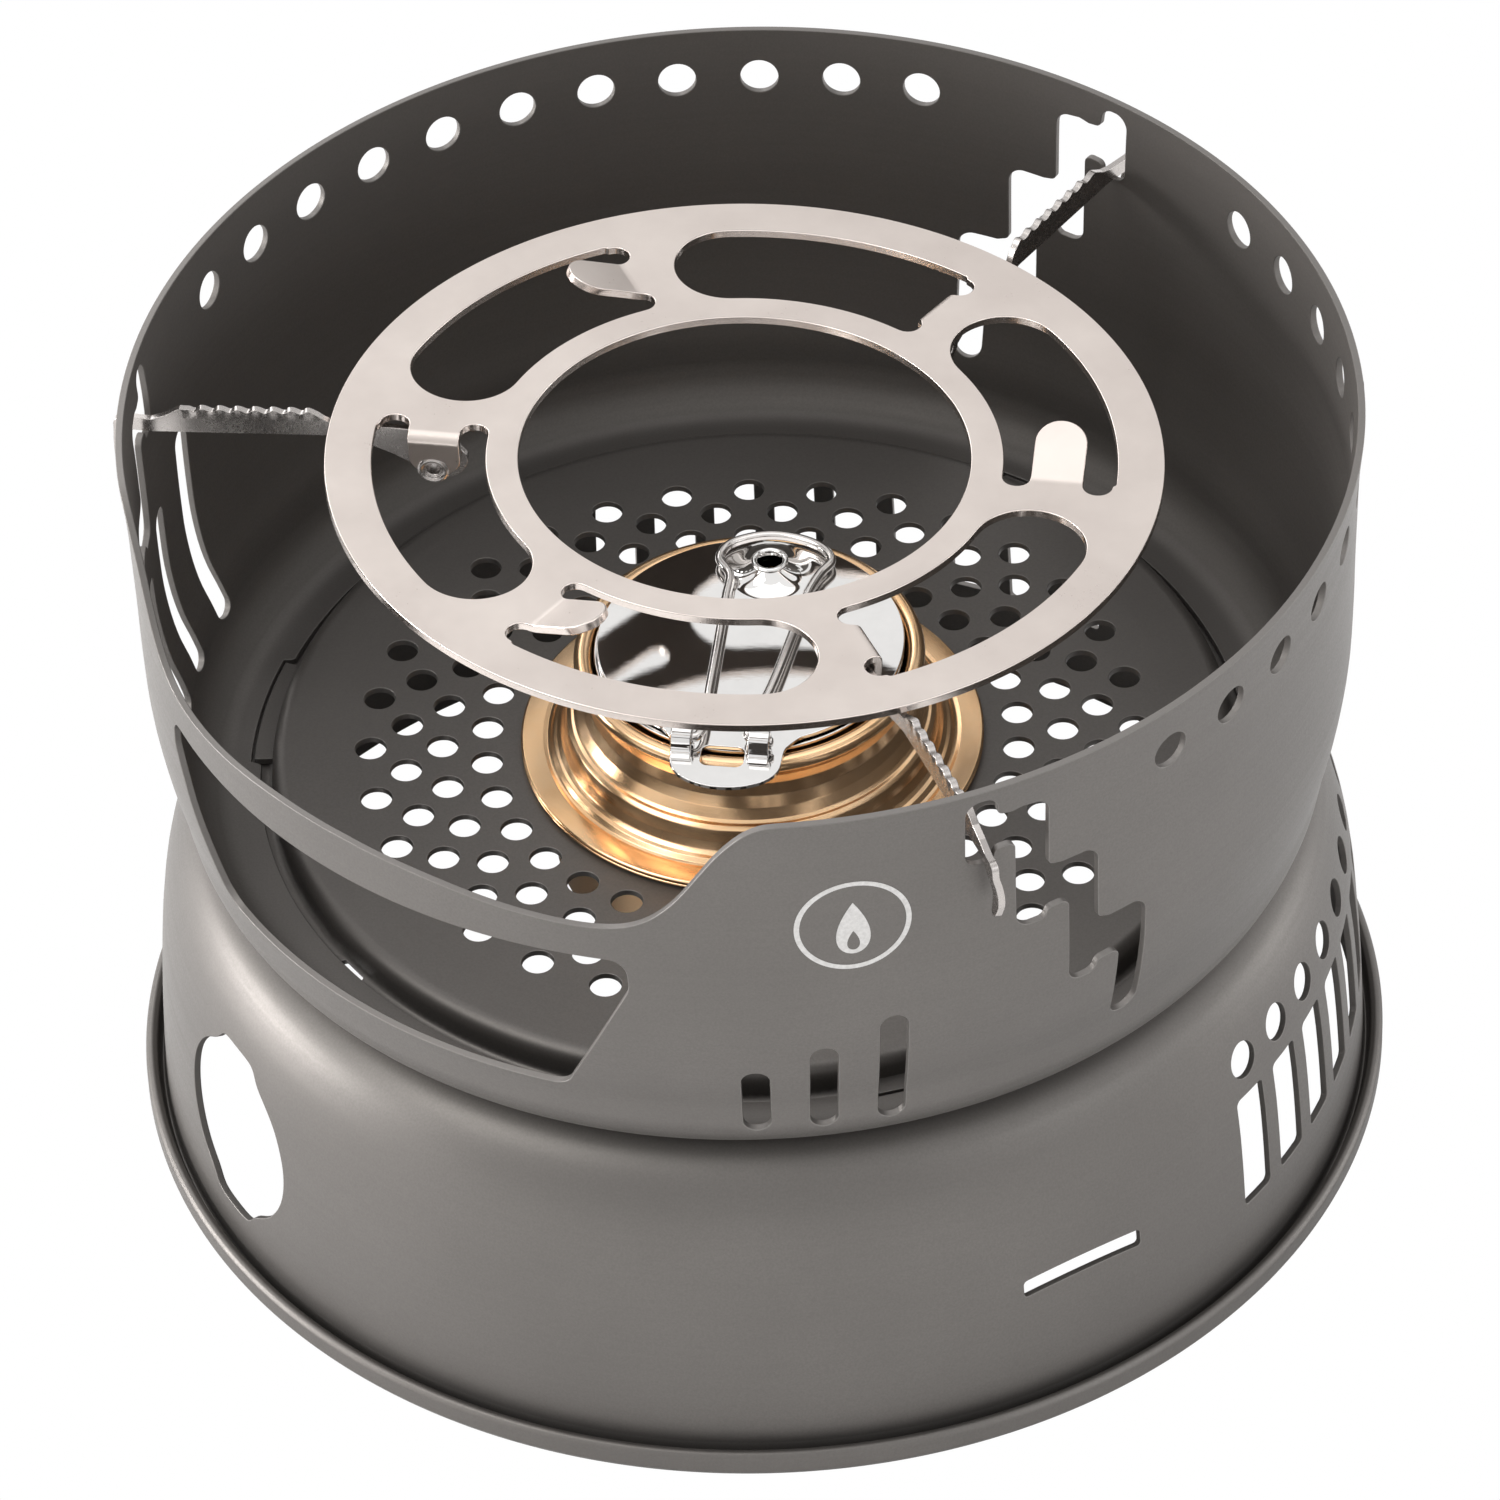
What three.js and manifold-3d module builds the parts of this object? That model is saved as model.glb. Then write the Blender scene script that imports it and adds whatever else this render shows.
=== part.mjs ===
// Two-piece spirit stove: a perforated base windshield, a lift-off upper
// windshield with stepped height slots, a pot ring on three folding toothed
// arms, and a screw-neck brass spirit burner with a swivelling simmer cover.
// Units are millimetres, +Z is up, the origin is the centre of the base.
// Directions are in degrees, anticlockwise from +X seen from above.
import * as THREE from "three";
import { mergeVertices } from "three/addons/utils/BufferGeometryUtils.js";
import Module from "manifold-3d";

const wasm = await Module();
wasm.setup();
const { Manifold, Mesh } = wasm;

// --------------------------------------------------------- shared dimensions
const HEIGHT = 137.3; // ground to rim
const SHEET = 1.2; // windshield sheet
const WALL_RADIUS = 98.6; // where the upper wall's arc lengths are measured
const THIRDS = [0, 120, 240]; // turns of what comes three times

// Ears of the base, lying in notches of the upper windshield's flange
const EARS = THIRDS.map((turn) => 48.5 + turn);
const EAR_HALF = 8.5; // degrees

// Pot ring and the arms riveted to it. Side offsets are measured off the
// radial line, positive anticlockwise.
const RING_TOP = 127.3;
const FIRST_ARM = 51.2;
const ARM_DIRECTIONS = [120, 240, 0].map((turn) => FIRST_ARM + turn);
const PIVOT_R = 49.3;
const PIVOT_Z = 118.5;
const PIVOT_BORE = 2.1; // radius

// Simmer control
const RIVET = [2.97, 17.8]; // x, y of the rivet's axis
const RIVET_BORE = 2.75; // radius
const HINGE_Z = 89.0; // axis of the handle's hinge

// ------------------------------------------------------------------- helpers
const rad = THREE.MathUtils.degToRad;
const V2 = (x, y) => new THREE.Vector2(x, y);
const points = (pairs) => pairs.map(([x, y]) => V2(x, y));

// A closed three.js geometry as a solid, its faces turned outwards.
function solid(source) {
  const bare = source.index ? source.toNonIndexed() : source.clone();
  for (const name of Object.keys(bare.attributes))
    if (name !== "position") bare.deleteAttribute(name);
  const merged = mergeVertices(bare, 1e-4);
  const corners = merged.index.array;
  const triangles = [];
  for (let i = 0; i < corners.length; i += 3) {
    const [a, b, c] = corners.subarray ? corners.subarray(i, i + 3) : corners.slice(i, i + 3);
    if (a !== b && b !== c && a !== c) triangles.push(a, b, c);
  }
  const make = () =>
    new Manifold(
      new Mesh({
        numProp: 3,
        vertProperties: new Float32Array(merged.attributes.position.array),
        triVerts: new Uint32Array(triangles),
      }),
    );
  const body = make();
  if (body.volume() >= 0) return body;
  for (let i = 0; i < triangles.length; i += 3)
    [triangles[i + 1], triangles[i + 2]] = [triangles[i + 2], triangles[i + 1]];
  return make();
}

// A solid back as a flat-shaded three.js geometry.
function toGeometry(body) {
  const mesh = body.asOriginal().simplify(0.04).getMesh();
  const stride = mesh.numProp;
  const positions = new Float32Array(mesh.numVert * 3);
  for (let i = 0; i < mesh.numVert; i++)
    positions.set(mesh.vertProperties.subarray(i * stride, i * stride + 3), i * 3);
  const indexed = new THREE.BufferGeometry();
  indexed.setAttribute("position", new THREE.BufferAttribute(positions, 3));
  indexed.setIndex(new THREE.BufferAttribute(new Uint32Array(mesh.triVerts), 1));
  const flat = indexed.toNonIndexed();
  flat.computeVertexNormals();
  return flat;
}

// A body turned about Z from a closed profile of [radius, height] points.
function lathe(profile, segments) {
  const outline = points(profile);
  if (profile[0][0] > 0) outline.push(outline[0].clone());
  const turned = new THREE.LatheGeometry(outline, segments);
  turned.rotateX(Math.PI / 2);
  return solid(turned);
}

// An outline extruded along +Z from zero.
function extrude(outline, depth, hole) {
  const shape = new THREE.Shape(outline);
  if (hole) shape.holes.push(new THREE.Path(hole));
  return new THREE.ExtrudeGeometry(shape, { depth, bevelEnabled: false });
}

// A level plate between two heights.
function slab(outline, bottom, top) {
  const plate = extrude(outline, top - bottom);
  plate.translate(0, 0, bottom);
  return solid(plate);
}

// An upright round bar, centred on x, y.
function pin(x, y, radius, bottom, top, sides) {
  const bar = new THREE.CylinderGeometry(radius, radius, top - bottom, sides);
  bar.rotateX(Math.PI / 2);
  bar.translate(x, y, (bottom + top) / 2);
  return solid(bar);
}

// Moves every vertex to the [x, y, z] that place gives for it.
function moveVertices(shape, place) {
  const p = shape.attributes.position;
  for (let i = 0; i < p.count; i++)
    p.setXYZ(i, ...place(p.getX(i), p.getY(i), p.getZ(i)));
}

// The x, y of a point at a distance out along a direction and off to its side.
function offRadial(direction, out, side = 0) {
  const cos = Math.cos(rad(direction));
  const sin = Math.sin(rad(direction));
  return [out * cos - side * sin, out * sin + side * cos];
}

// An outline of (distance outwards, height) in the upright plane of a
// direction, given a thickness between two side offsets.
function upright(outline, direction, [side0, side1]) {
  const plate = extrude(outline, side1 - side0);
  moveVertices(plate, (out, z, depth) => [...offRadial(direction, out, side0 + depth), z]);
  return solid(plate);
}

// A rounded polygon: each corner [x, y, radius] is replaced by a short curve.
function rounded(corners, steps = 3) {
  const outline = [];
  const n = corners.length;
  corners.forEach(([x, y, radius = 0], i) => {
    const corner = V2(x, y);
    const back = V2(...corners[(i + n - 1) % n]).sub(corner);
    const ahead = V2(...corners[(i + 1) % n]).sub(corner);
    const backLength = back.length();
    const aheadLength = ahead.length();
    back.normalize();
    ahead.normalize();
    const half = Math.acos(THREE.MathUtils.clamp(back.dot(ahead), -1, 1)) / 2;
    const cut = Math.min(radius / Math.tan(half), backLength * 0.49, aheadLength * 0.49);
    if (!(cut > 1e-3)) {
      outline.push(corner);
      return;
    }
    const start = corner.clone().addScaledVector(back, cut);
    const end = corner.clone().addScaledVector(ahead, cut);
    for (let k = 0; k <= steps; k++) {
      const t = k / steps;
      outline.push(
        start
          .clone()
          .multiplyScalar((1 - t) * (1 - t))
          .addScaledVector(corner, 2 * t * (1 - t))
          .addScaledVector(end, t * t),
      );
    }
  });
  return outline;
}

// Corners of a box centred on x = 0, for rounded().
const box = (halfWidth, bottom, top, radius = 0) => [
  [-halfWidth, bottom, radius],
  [halfWidth, bottom, radius],
  [halfWidth, top, radius],
  [-halfWidth, top, radius],
];

// An outline from its half, [offset from the centre, height] points.
const mirrored = (centre, half) => [
  ...half.map(([offset, z]) => [centre - offset, z]),
  ...[...half].reverse().map(([offset, z]) => [centre + offset, z]),
];

// A closed circle of points.
const circle = (x, y, radius, count) =>
  Array.from({ length: count }, (_, i) => {
    const angle = (2 * Math.PI * i) / count;
    return V2(x + radius * Math.cos(angle), y + radius * Math.sin(angle));
  });

// Points of an arc between two angles, both ends included.
const arc = (x, y, radius, from, to, steps) =>
  Array.from({ length: steps + 1 }, (_, i) => {
    const angle = rad(from + ((to - from) * i) / steps);
    return V2(x + radius * Math.cos(angle), y + radius * Math.sin(angle));
  });

// A sector of a ring about the origin.
const sector = (inner, outer, from, to, steps) => [
  ...arc(0, 0, outer, from, to, steps),
  ...arc(0, 0, inner, from, to, steps).reverse(),
];

// Points along an outline, no further apart than the given step.
function dense(outline, step) {
  return outline.flatMap((point, i) => {
    const next = outline[(i + 1) % outline.length];
    const count = Math.max(1, Math.ceil(point.distanceTo(next) / step));
    return Array.from({ length: count }, (_, j) => point.clone().lerp(next, j / count));
  });
}

// A cutter through a round wall: an outline in (arc length, height) about a
// direction, bent round the axis between two radii. Arc length is measured at
// arcRadius; edges longer than step are divided so that they follow the bend.
function wallCutter(
  outline,
  direction,
  { inner, outer, arcRadius = WALL_RADIUS, step = Infinity },
) {
  const cutter = extrude(dense(outline, step), outer - inner);
  moveVertices(cutter, (along, z, depth) => {
    const angle = rad(direction) + along / arcRadius;
    const r = inner + depth;
    return [r * Math.cos(angle), r * Math.sin(angle), z];
  });
  return solid(cutter);
}

// [degrees, height, radius] corners as [arc length, height, radius].
const arcCorners = (list) => list.map(([angle, z, radius]) => [rad(angle) * WALL_RADIUS, z, radius]);

const cutAll = (body, cutters) => body.subtract(Manifold.union(cutters));

// ----------------------------------------------------------- base windshield
const PLATE_TOP = 66.3; // perforated plate
const LEDGE = 60.4; // ledge round the raised plate
const BURNER_HOLE = 34.3; // radius
const EAR_BOTTOM = 60.75;

// [radius, height]: the outside from the foot up, then back down the inside
const BASE_PROFILE = [
  [101.4, 0], [103.6, 0], [104.7, 1.1], [104.95, 2.5], [104.3, 4.0],
  [102.9, 4.9], [101.5, 7.3], [100.5, 25.3], [98.9, 40.3], [96.6, 49.3],
  [92.6, 56.1], [88.5, 58.8], [82.5, 60.3], [79.5, LEDGE],
  [79.5, 64.2], [78.7, 65.8], [77, PLATE_TOP], [BURNER_HOLE, PLATE_TOP],
  [BURNER_HOLE, PLATE_TOP - SHEET], [76.8, PLATE_TOP - SHEET],
  [78.3, 63.8], [78.3, 59.2], [82.3, 59.1], [87.9, 57.7], [91.6, 55.2],
  [95.4, 48.9], [97.7, 40.1], [99.3, 25.2], [100.3, 5.5], [100.3, 1.3],
];
const TALL_SLOTS = { first: 322.2, pitch: 6.13, count: 24, halfWidth: 3.6, bottom: 17.4, top: 39.5 };
const SLOT_HOLE = { z: 45.8, radius: 3.2 }; // round hole above each tall slot
const HOSE = { direction: 208.8, z: 28, radius: 15.7, halfWidth: 6.25, bottom: 11, top: 45 };
const SLIT = { direction: 299.85, halfWidth: 11.1, bottom: 26.4, top: 29 };
const PLATE_HOLES = {
  radius: 2.75,
  count: 32,
  // [ring radius, direction of the first hole]
  rings: [[44.0, 4.7], [51.2, 10.3], [57.4, 4.7], [63.1, 10.3]],
};

function tallSlotCutters() {
  const { first, pitch, count, halfWidth, bottom, top } = TALL_SLOTS;
  const slot = rounded(box(halfWidth, bottom, top));
  const hole = circle(0, SLOT_HOLE.z, SLOT_HOLE.radius, 8);
  return Array.from({ length: count }, (_, k) => first + pitch * k).flatMap((direction) => [
    wallCutter(slot, direction, { inner: 94, outer: 106, arcRadius: 99.5 }),
    wallCutter(hole, direction, { inner: 90, outer: 106, arcRadius: 97.5 }),
  ]);
}

// A round hole with an upright slot through it.
function hoseCutters() {
  const { direction, z, radius, halfWidth, bottom, top } = HOSE;
  return [circle(0, z, radius, 28), rounded(box(halfWidth, bottom, top, 3))].map((outline) =>
    wallCutter(outline, direction, { inner: 80, outer: 120, arcRadius: 100, step: 8 }),
  );
}

function slitCutter() {
  const outline = rounded(box(SLIT.halfWidth, SLIT.bottom, SLIT.top, 1.2));
  const reach = { inner: 92, outer: 108, arcRadius: 100, step: 8 };
  return wallCutter(outline, SLIT.direction, reach);
}

function plateHoleCutters() {
  const { radius, count, rings } = PLATE_HOLES;
  const cutters = [];
  for (const [ringRadius, first] of rings)
    for (let k = 0; k < count; k++) {
      const [x, y] = offRadial(first + (360 / count) * k, ringRadius);
      cutters.push(pin(x, y, radius, 64, 68, 6));
    }
  return cutters;
}

// Small curved openings in the ledge.
const ledgeCutters = () =>
  THIRDS.map((turn) => 109 + turn).map((middle) =>
    slab(sector(80.4, 82, middle - 2.1, middle + 2.1, 2), 57, 61.5),
  );

function baseWindshield() {
  let body = cutAll(lathe(BASE_PROFILE, 48), [
    ...tallSlotCutters(),
    ...hoseCutters(),
    slitCutter(),
    ...plateHoleCutters(),
    ...ledgeCutters(),
  ]);
  // ears standing out of the dome wall
  for (const middle of EARS) {
    const outline = sector(78.7, 82.6, middle - EAR_HALF, middle + EAR_HALF, 4);
    body = body.add(slab(outline, EAR_BOTTOM, EAR_BOTTOM + SHEET));
  }
  return body;
}

// ---------------------------------------------------------- upper windshield
const FLANGE_BOTTOM = 60.7; // underside of the inward flange
const FLANGE_INNER = 81.5;
const NOTCH_CLEARANCE = 0.6; // degrees, at each end of an ear

// [radius, height]: down the inside from the rim, then back up the outside
const UPPER_PROFILE = [
  [98.6, HEIGHT], [98.15, 132.3], [97.55, 115.3], [97.0, 91.4],
  [95.26, 79.45], [93.15, 68.5], [91.9, 65.5], [89.2, 63.0],
  [85.2, FLANGE_BOTTOM + SHEET], [FLANGE_INNER, FLANGE_BOTTOM + SHEET],
  [FLANGE_INNER, FLANGE_BOTTOM], [85.1, FLANGE_BOTTOM],
  [89.9, 62.0], [92.9, 64.8], [94.33, 68.3], [96.46, 79.3],
  [98.2, 91.3], [98.75, 115.3], [99.35, 132.3], [99.8, HEIGHT],
];

// Stepped height slot: [degrees, height, corner radius]
const STAIR = [
  [47.8, 135.1, 2.2], [50.9, 135.1, 2.2], [50.9, 130.9, 1.2], [55.9, 130.7, 2.2],
  [56.0, 116.4, 1.2], [61.3, 116.0, 2.2], [61.3, 100.6, 1.2], [66.9, 99.7, 2.2],
  [66.9, 75.0, 2.4], [63.8, 75.0, 2.4], [63.9, 91.9, 1.6], [61.2, 91.5, 0.8],
  [61.1, 89.3, 2.0], [58.3, 89.3, 2.0], [58.2, 107.6, 1.6], [55.8, 107.4, 0.8],
  [55.7, 105.6, 2.0], [52.8, 105.6, 2.0], [52.7, 124.1, 1.4], [50.5, 123.9, 0.8],
  [50.4, 121.8, 1.6], [47.8, 121.8, 1.6],
];

// Two rows of round holes below the rim
const RIM_HOLES = { firsts: [70.5, 310.5], pitch: 8.12, count: 11, z: 128, radius: 3.25 };

// Upright vents: [direction, bottom, top]
const VENTS = [
  [268.9, 68.3, 83.1], [275.7, 68.3, 88.3], [282.6, 68.3, 93.6],
  [162.2, 72.3, 109.3], [169.5, 72.3, 103.8], [176.3, 72.8, 99.3],
];

// Half of the rim's cut-down: [degrees from its middle, height]
const RIM_DIP_MIDDLE = 229.4;
const RIM_DIP = [
  [40.6, 138.4], [40.6, 136.4], [37.1, 132.3],
  [33.7, 123.3], [30.4, 116.5], [26.6, 114.3],
];

// Window below the cut-down: [degrees, height, corner radius]
const WINDOW = [
  [201.2, 107.3, 4], [257.8, 107.3, 4], [257.9, 101.3, 4],
  [250.6, 76.3, 4], [208.2, 76.3, 4], [200.9, 101.3, 4],
];

function rimHoleCutters() {
  const { firsts, pitch, count, z, radius } = RIM_HOLES;
  const outline = circle(0, z, radius, 8);
  const reach = { inner: 94, outer: 106, arcRadius: 98.8 };
  return firsts.flatMap((first) =>
    Array.from({ length: count }, (_, k) => wallCutter(outline, first + pitch * k, reach)),
  );
}

const stairCutters = () =>
  THIRDS.map((turn) =>
    wallCutter(rounded(arcCorners(STAIR), 2), turn, { inner: 90, outer: 108, step: 14 }),
  );

const ventCutters = () =>
  VENTS.map(([direction, bottom, top]) => {
    const outline = rounded(box(2.25, bottom, top, 2.2), 2);
    return wallCutter(outline, direction, { inner: 88, outer: 108, arcRadius: 98 });
  });

// Notches of the flange, round the ears of the base.
const notchCutters = () =>
  EARS.map((middle) => {
    const half = EAR_HALF + NOTCH_CLEARANCE;
    return slab(sector(80, 83.2, middle - half, middle + half, 4), 60, 62.6);
  });

function upperWindshield() {
  const rimDip = rounded(arcCorners(mirrored(RIM_DIP_MIDDLE, RIM_DIP)));
  const window = rounded(arcCorners(WINDOW));
  return cutAll(lathe(UPPER_PROFILE, 48), [
    ...rimHoleCutters(),
    ...stairCutters(),
    ...ventCutters(),
    wallCutter(rimDip, 0, { inner: 70, outer: 150, step: 9 }),
    wallCutter(window, 0, { inner: 70, outer: 130, step: 9 }),
    ...notchCutters(),
  ]);
}

// ------------------------------------------------------------------ pot ring
const RING_THICK = 1.5;
const RING_BOTTOM = RING_TOP - RING_THICK;
const RING_OUT = 67;
const RING_IN = 36.2;
const TONGUE_HALF = 8.5 / 2; // half the tongues' width
const TONGUE_R = 50.2; // radius of the tongues' centre line
const LUG_SIDES = [-2.2, -0.7]; // faces of a tongue bent down
const BEND_SIDES = [-4.2, -0.7]; // extent of its root in the ring
const LUG_BOTTOM = PIVOT_Z - 2.6;
const OPENING = { inner: 41, outer: 59.7, sweep: 40.2, endR: 50.35, endRadius: 9.35 };

// An opening swept from a tongue to a round end, with a small round relief at
// each side of the tongue's root.
function openingCutters(direction, isLug) {
  const { inner, outer, sweep, endR, endRadius } = OPENING;
  const bottom = RING_BOTTOM - 1;
  const top = RING_TOP + 1;
  const end = direction + sweep;
  const reliefs = isLug ? [[57.2, -1.6], [43.3, -1.2]] : [[57.2, -0.4], [43.3, 0.2]];
  return [
    slab(sector(inner, outer, direction - (isLug ? 2.5 : 0.6), end, 6), bottom, top),
    pin(...offRadial(end, endR), endRadius, bottom, top, 18),
    ...reliefs.map(([out, side]) =>
      pin(...offRadial(direction, out, side), 2.1, bottom, top, 9),
    ),
  ];
}

// Tongue bent down, drilled for the arm's rivet.
function addLug(ring, direction) {
  // [distance from the centre line, height]
  const half = [
    [TONGUE_HALF, RING_TOP],
    [TONGUE_HALF, LUG_BOTTOM + 2.5],
    [3, LUG_BOTTOM + 0.7],
    [1.2, LUG_BOTTOM - 0.1],
  ];
  const root = [
    [TONGUE_R - TONGUE_HALF, RING_BOTTOM],
    [TONGUE_R + TONGUE_HALF, RING_BOTTOM],
    [TONGUE_R + TONGUE_HALF, RING_TOP],
    [TONGUE_R - TONGUE_HALF, RING_TOP],
  ];
  return ring
    .add(upright(points(mirrored(TONGUE_R, half)), direction, LUG_SIDES))
    .add(upright(points(root), direction, BEND_SIDES))
    .subtract(upright(circle(PIVOT_R, PIVOT_Z, PIVOT_BORE, 16), direction, [-3.2, 0.6]));
}

// Tongue left in the ring and raised a little at its tip.
function raisedTongue(direction) {
  const outline = [
    V2(-TONGUE_HALF, -1.6),
    V2(TONGUE_HALF, -1.6),
    ...arc(0, 8.5, TONGUE_HALF, 0, 180, 8),
  ];
  const tongue = extrude(outline, RING_THICK);
  tongue.translate(0, 0, -RING_THICK);
  tongue.rotateX(rad(15));
  tongue.rotateZ(rad(direction));
  tongue.translate(...offRadial(direction, TONGUE_R, -0.6), RING_TOP + 0.2);
  return solid(tongue);
}

function potRing() {
  const profile = [
    [RING_IN, RING_BOTTOM], [RING_OUT, RING_BOTTOM],
    [RING_OUT, RING_TOP], [RING_IN, RING_TOP],
  ];
  let ring = lathe(profile, 48);
  for (let j = 0; j < 6; j++) {
    const direction = FIRST_ARM + 60 * j;
    const isLug = j % 2 === 0;
    ring = ring.subtract(openingCutters(direction, isLug).reduce((a, b) => a.add(b)));
    ring = isLug ? addLug(ring, direction) : ring.add(raisedTongue(direction));
  }
  return ring;
}

// ---------------------------------------------------------------------- arms
const ARM_SIDES = [-3.7, -2.5]; // the arm's two faces
const NECK_Z = 122.1; // the hook leans below this height
const HOOK_START = 100.5; // and outside this distance from the axis
const HOOK_LEAN = 0.4; // sideways shift per millimetre down
const TEETH = { first: 67.9, pitch: 2.93, count: 8, depth: 0.9 };

// The arm in its upright plane, (distance outwards, height).
function armOutline() {
  const roundEnd = arc(PIVOT_R, PIVOT_Z, 4.2, 150, 320, 6);
  const underside = [[57.5, 119.2], [62.5, 121.6], [68, 122.3], [94.6, 122.3]];
  // neck through the slot, then the hook outside the wall
  const hook = [
    [100.9, 122.1], [101.0, 115.5], [101.4, 113.4], [102.4, 112.4], [103.6, 113.2],
    [104.3, 115.6], [104.4, 120.2], [103.8, 123.6], [103.7, 125.9], [102.9, 126.6],
    [102.6, 128.4], [101.4, 128.9], [100.9, 128.2], [100.8, 124.8], [97, 124.8],
    [94.6, 125.7], [92.2, 127.2],
  ];
  const teeth = [];
  for (let k = TEETH.count - 1; k >= 0; k--) {
    const start = TEETH.first + TEETH.pitch * k;
    const root = RING_TOP - TEETH.depth;
    teeth.push([start + 2.2, RING_TOP], [start + 1.5, root], [start + 0.7, root], [start, RING_TOP]);
  }
  const topEdge = [[67.6, 125.4], [47.6, 125.2], [45.9, 123.4]];
  return [...roundEnd, ...points([...underside, ...hook, ...teeth, ...topEdge])];
}

function arm(direction) {
  const [side0, side1] = ARM_SIDES;
  const bore = circle(PIVOT_R, PIVOT_Z, PIVOT_BORE, 16);
  const plate = upright(armOutline(), direction, ARM_SIDES).subtract(
    upright(bore, direction, [side0 - 1, side1 + 1]),
  );
  // the hook leans a little to one side below the neck
  const cos = Math.cos(rad(direction));
  const sin = Math.sin(rad(direction));
  return plate.warp((v) => {
    const out = v[0] * cos + v[1] * sin;
    if (out > HOOK_START && v[2] < NECK_Z) {
      const shift = HOOK_LEAN * (NECK_Z - v[2]);
      v[0] -= shift * sin;
      v[1] += shift * cos;
    }
  });
}

// Hollow rivet through lug and arm, flared at both ends.
function armRivet(direction) {
  // [radius, side offset]
  const profile = [
    [1.25, -4.7], [2.55, -4.7], [2.55, -4.0], [1.75, -4.0],
    [1.75, -0.4], [2.3, -0.4], [2.3, 0.3], [1.25, 0.3],
  ];
  const placing = new THREE.Matrix4()
    .makeTranslation(0, 0, PIVOT_Z)
    .multiply(new THREE.Matrix4().makeRotationZ(rad(direction)))
    .multiply(new THREE.Matrix4().makeTranslation(PIVOT_R, 0, 0))
    .multiply(new THREE.Matrix4().makeRotationX(-Math.PI / 2));
  return lathe(profile, 14).transform([...placing.elements]);
}

// -------------------------------------------------------------------- burner
// Profiles are [radius, height].
function burnerCup() {
  const profile = [
    [0, 42], [30.6, 42], [32.6, 42.9], [33.3, 45], [33.3, 65.4],
    [33.9, 66.6], [38.2, 66.6], [38.2, 67.1], [33.4, 67.1], [32.7, 65.6],
    [32.7, 45.2], [32.2, 43.5], [30.4, 42.7], [0, 42.7],
  ];
  return lathe(profile, 36);
}

function burnerCollar() {
  const outside = [
    [33.9, 67.4], [38.2, 67.4], [38.2, 67.9], [35.3, 68.0], [34.4, 69.1],
    [33.4, 69.9], [32.7, 71.4], [33.4, 74.4], [32.6, 75.1], [30.3, 75.3],
    [28.3, 76.3], [26.9, 77.9], [26.5, 79.5], [26.7, 81.3],
  ];
  const rolledLip = arc(27.3, 84.5, 1.5, -50, 180, 5).map((point) => point.toArray());
  const inside = [[25.8, 79.4], [26.3, 77.5], [27.9, 75.7], [32.0, 74.3], [32.0, 71.0]];
  return lathe([...outside, ...rolledLip, ...inside], 36);
}

function burnerInnerWall() {
  const tube = lathe([[21.6, 43.2], [22.2, 43.2], [22.2, 84.7], [21.6, 84.7]], 24);
  const holes = (count, first, outline) =>
    Array.from({ length: count }, (_, k) =>
      wallCutter(outline, (360 / count) * k + first, { inner: 19, outer: 25, arcRadius: 22 }),
    );
  const feedHoles = holes(6, 15, circle(0, 45.5, 1.3, 6));
  const jets = holes(16, 0, circle(0, 80, 0.7, 4));
  return cutAll(tube, [...feedHoles, ...jets]);
}

function burnerWick() {
  const profile = [
    [22.7, 43.4], [31.6, 43.4], [31.9, 45.5], [31.9, 64],
    [31, 66], [28, 66.6], [24, 66.4], [22.7, 65.4],
  ];
  return lathe(profile, 28);
}

// ------------------------------------------------------------ simmer control
const RING_BASE = 85.0; // simmer ring, underside and top
const RING_FACE = 86.1;
const COVER = { x: 0.3, y: 0.5, radius: 25.2, bottom: 86.4, top: 87.2 };
const TAB = { direction: 260.5, halfWidth: 8.5, endStart: 29.6, endLength: 4.4 };
const TAB_WINDOW = { x: -4.8, y: -26.2, halfLength: 3.5, halfWidth: 2.35 };
const HINGE = {
  x: -10.7,
  y: -24.4,
  angle: Math.atan2(-0.16505, 0.98629), // direction of its axis, radians
  ears: [[-2.2, 0.9], [12.2, 15.3]], // start and end along the axis
  outer: 1.85,
  inner: 1.12,
};
const WIRE_RADIUS = 0.8;

// Outline of a disc with its half-elliptical tab.
function coverOutline() {
  const { x, y, radius } = COVER;
  const { direction, halfWidth, endStart, endLength } = TAB;
  const gap = THREE.MathUtils.radToDeg(Math.asin(halfWidth / radius) + 0.12);
  const onTab = (out, side) => {
    const [dx, dy] = offRadial(direction, out, side);
    return V2(x + dx, y + dy);
  };
  const tabEnd = Array.from({ length: 9 }, (_, i) => {
    const angle = -Math.PI / 2 + (Math.PI * i) / 8;
    return onTab(endStart + endLength * Math.cos(angle), halfWidth * Math.sin(angle));
  });
  return [
    ...arc(x, y, radius, direction + gap, direction + 360 - gap, 52),
    onTab(radius, -halfWidth),
    ...tabEnd,
    onTab(radius, halfWidth),
  ];
}

function simmerRing() {
  const profile = [
    [19.0, RING_BASE], [25.4, RING_BASE], [25.4, RING_FACE], [18.2, RING_FACE], [18.2, 85.4],
  ];
  // the rivet's seat lies slightly nearer the axis than the rivet
  const [seatX, seatY] = RIVET.map((value) => value * 0.98);
  return lathe(profile, 36)
    .add(pin(seatX, seatY, 4.6, RING_BASE, RING_FACE, 20))
    .subtract(pin(...RIVET, RIVET_BORE, 84, 87, 20));
}

function tabWindowCutter() {
  const { x, y, halfLength, halfWidth } = TAB_WINDOW;
  const cutter = extrude(rounded(box(halfLength, -halfWidth, halfWidth, 1.4)), 3);
  cutter.rotateZ(rad(TAB.direction) + Math.PI / 2);
  cutter.translate(x, y, 85.5);
  return solid(cutter);
}

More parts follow.
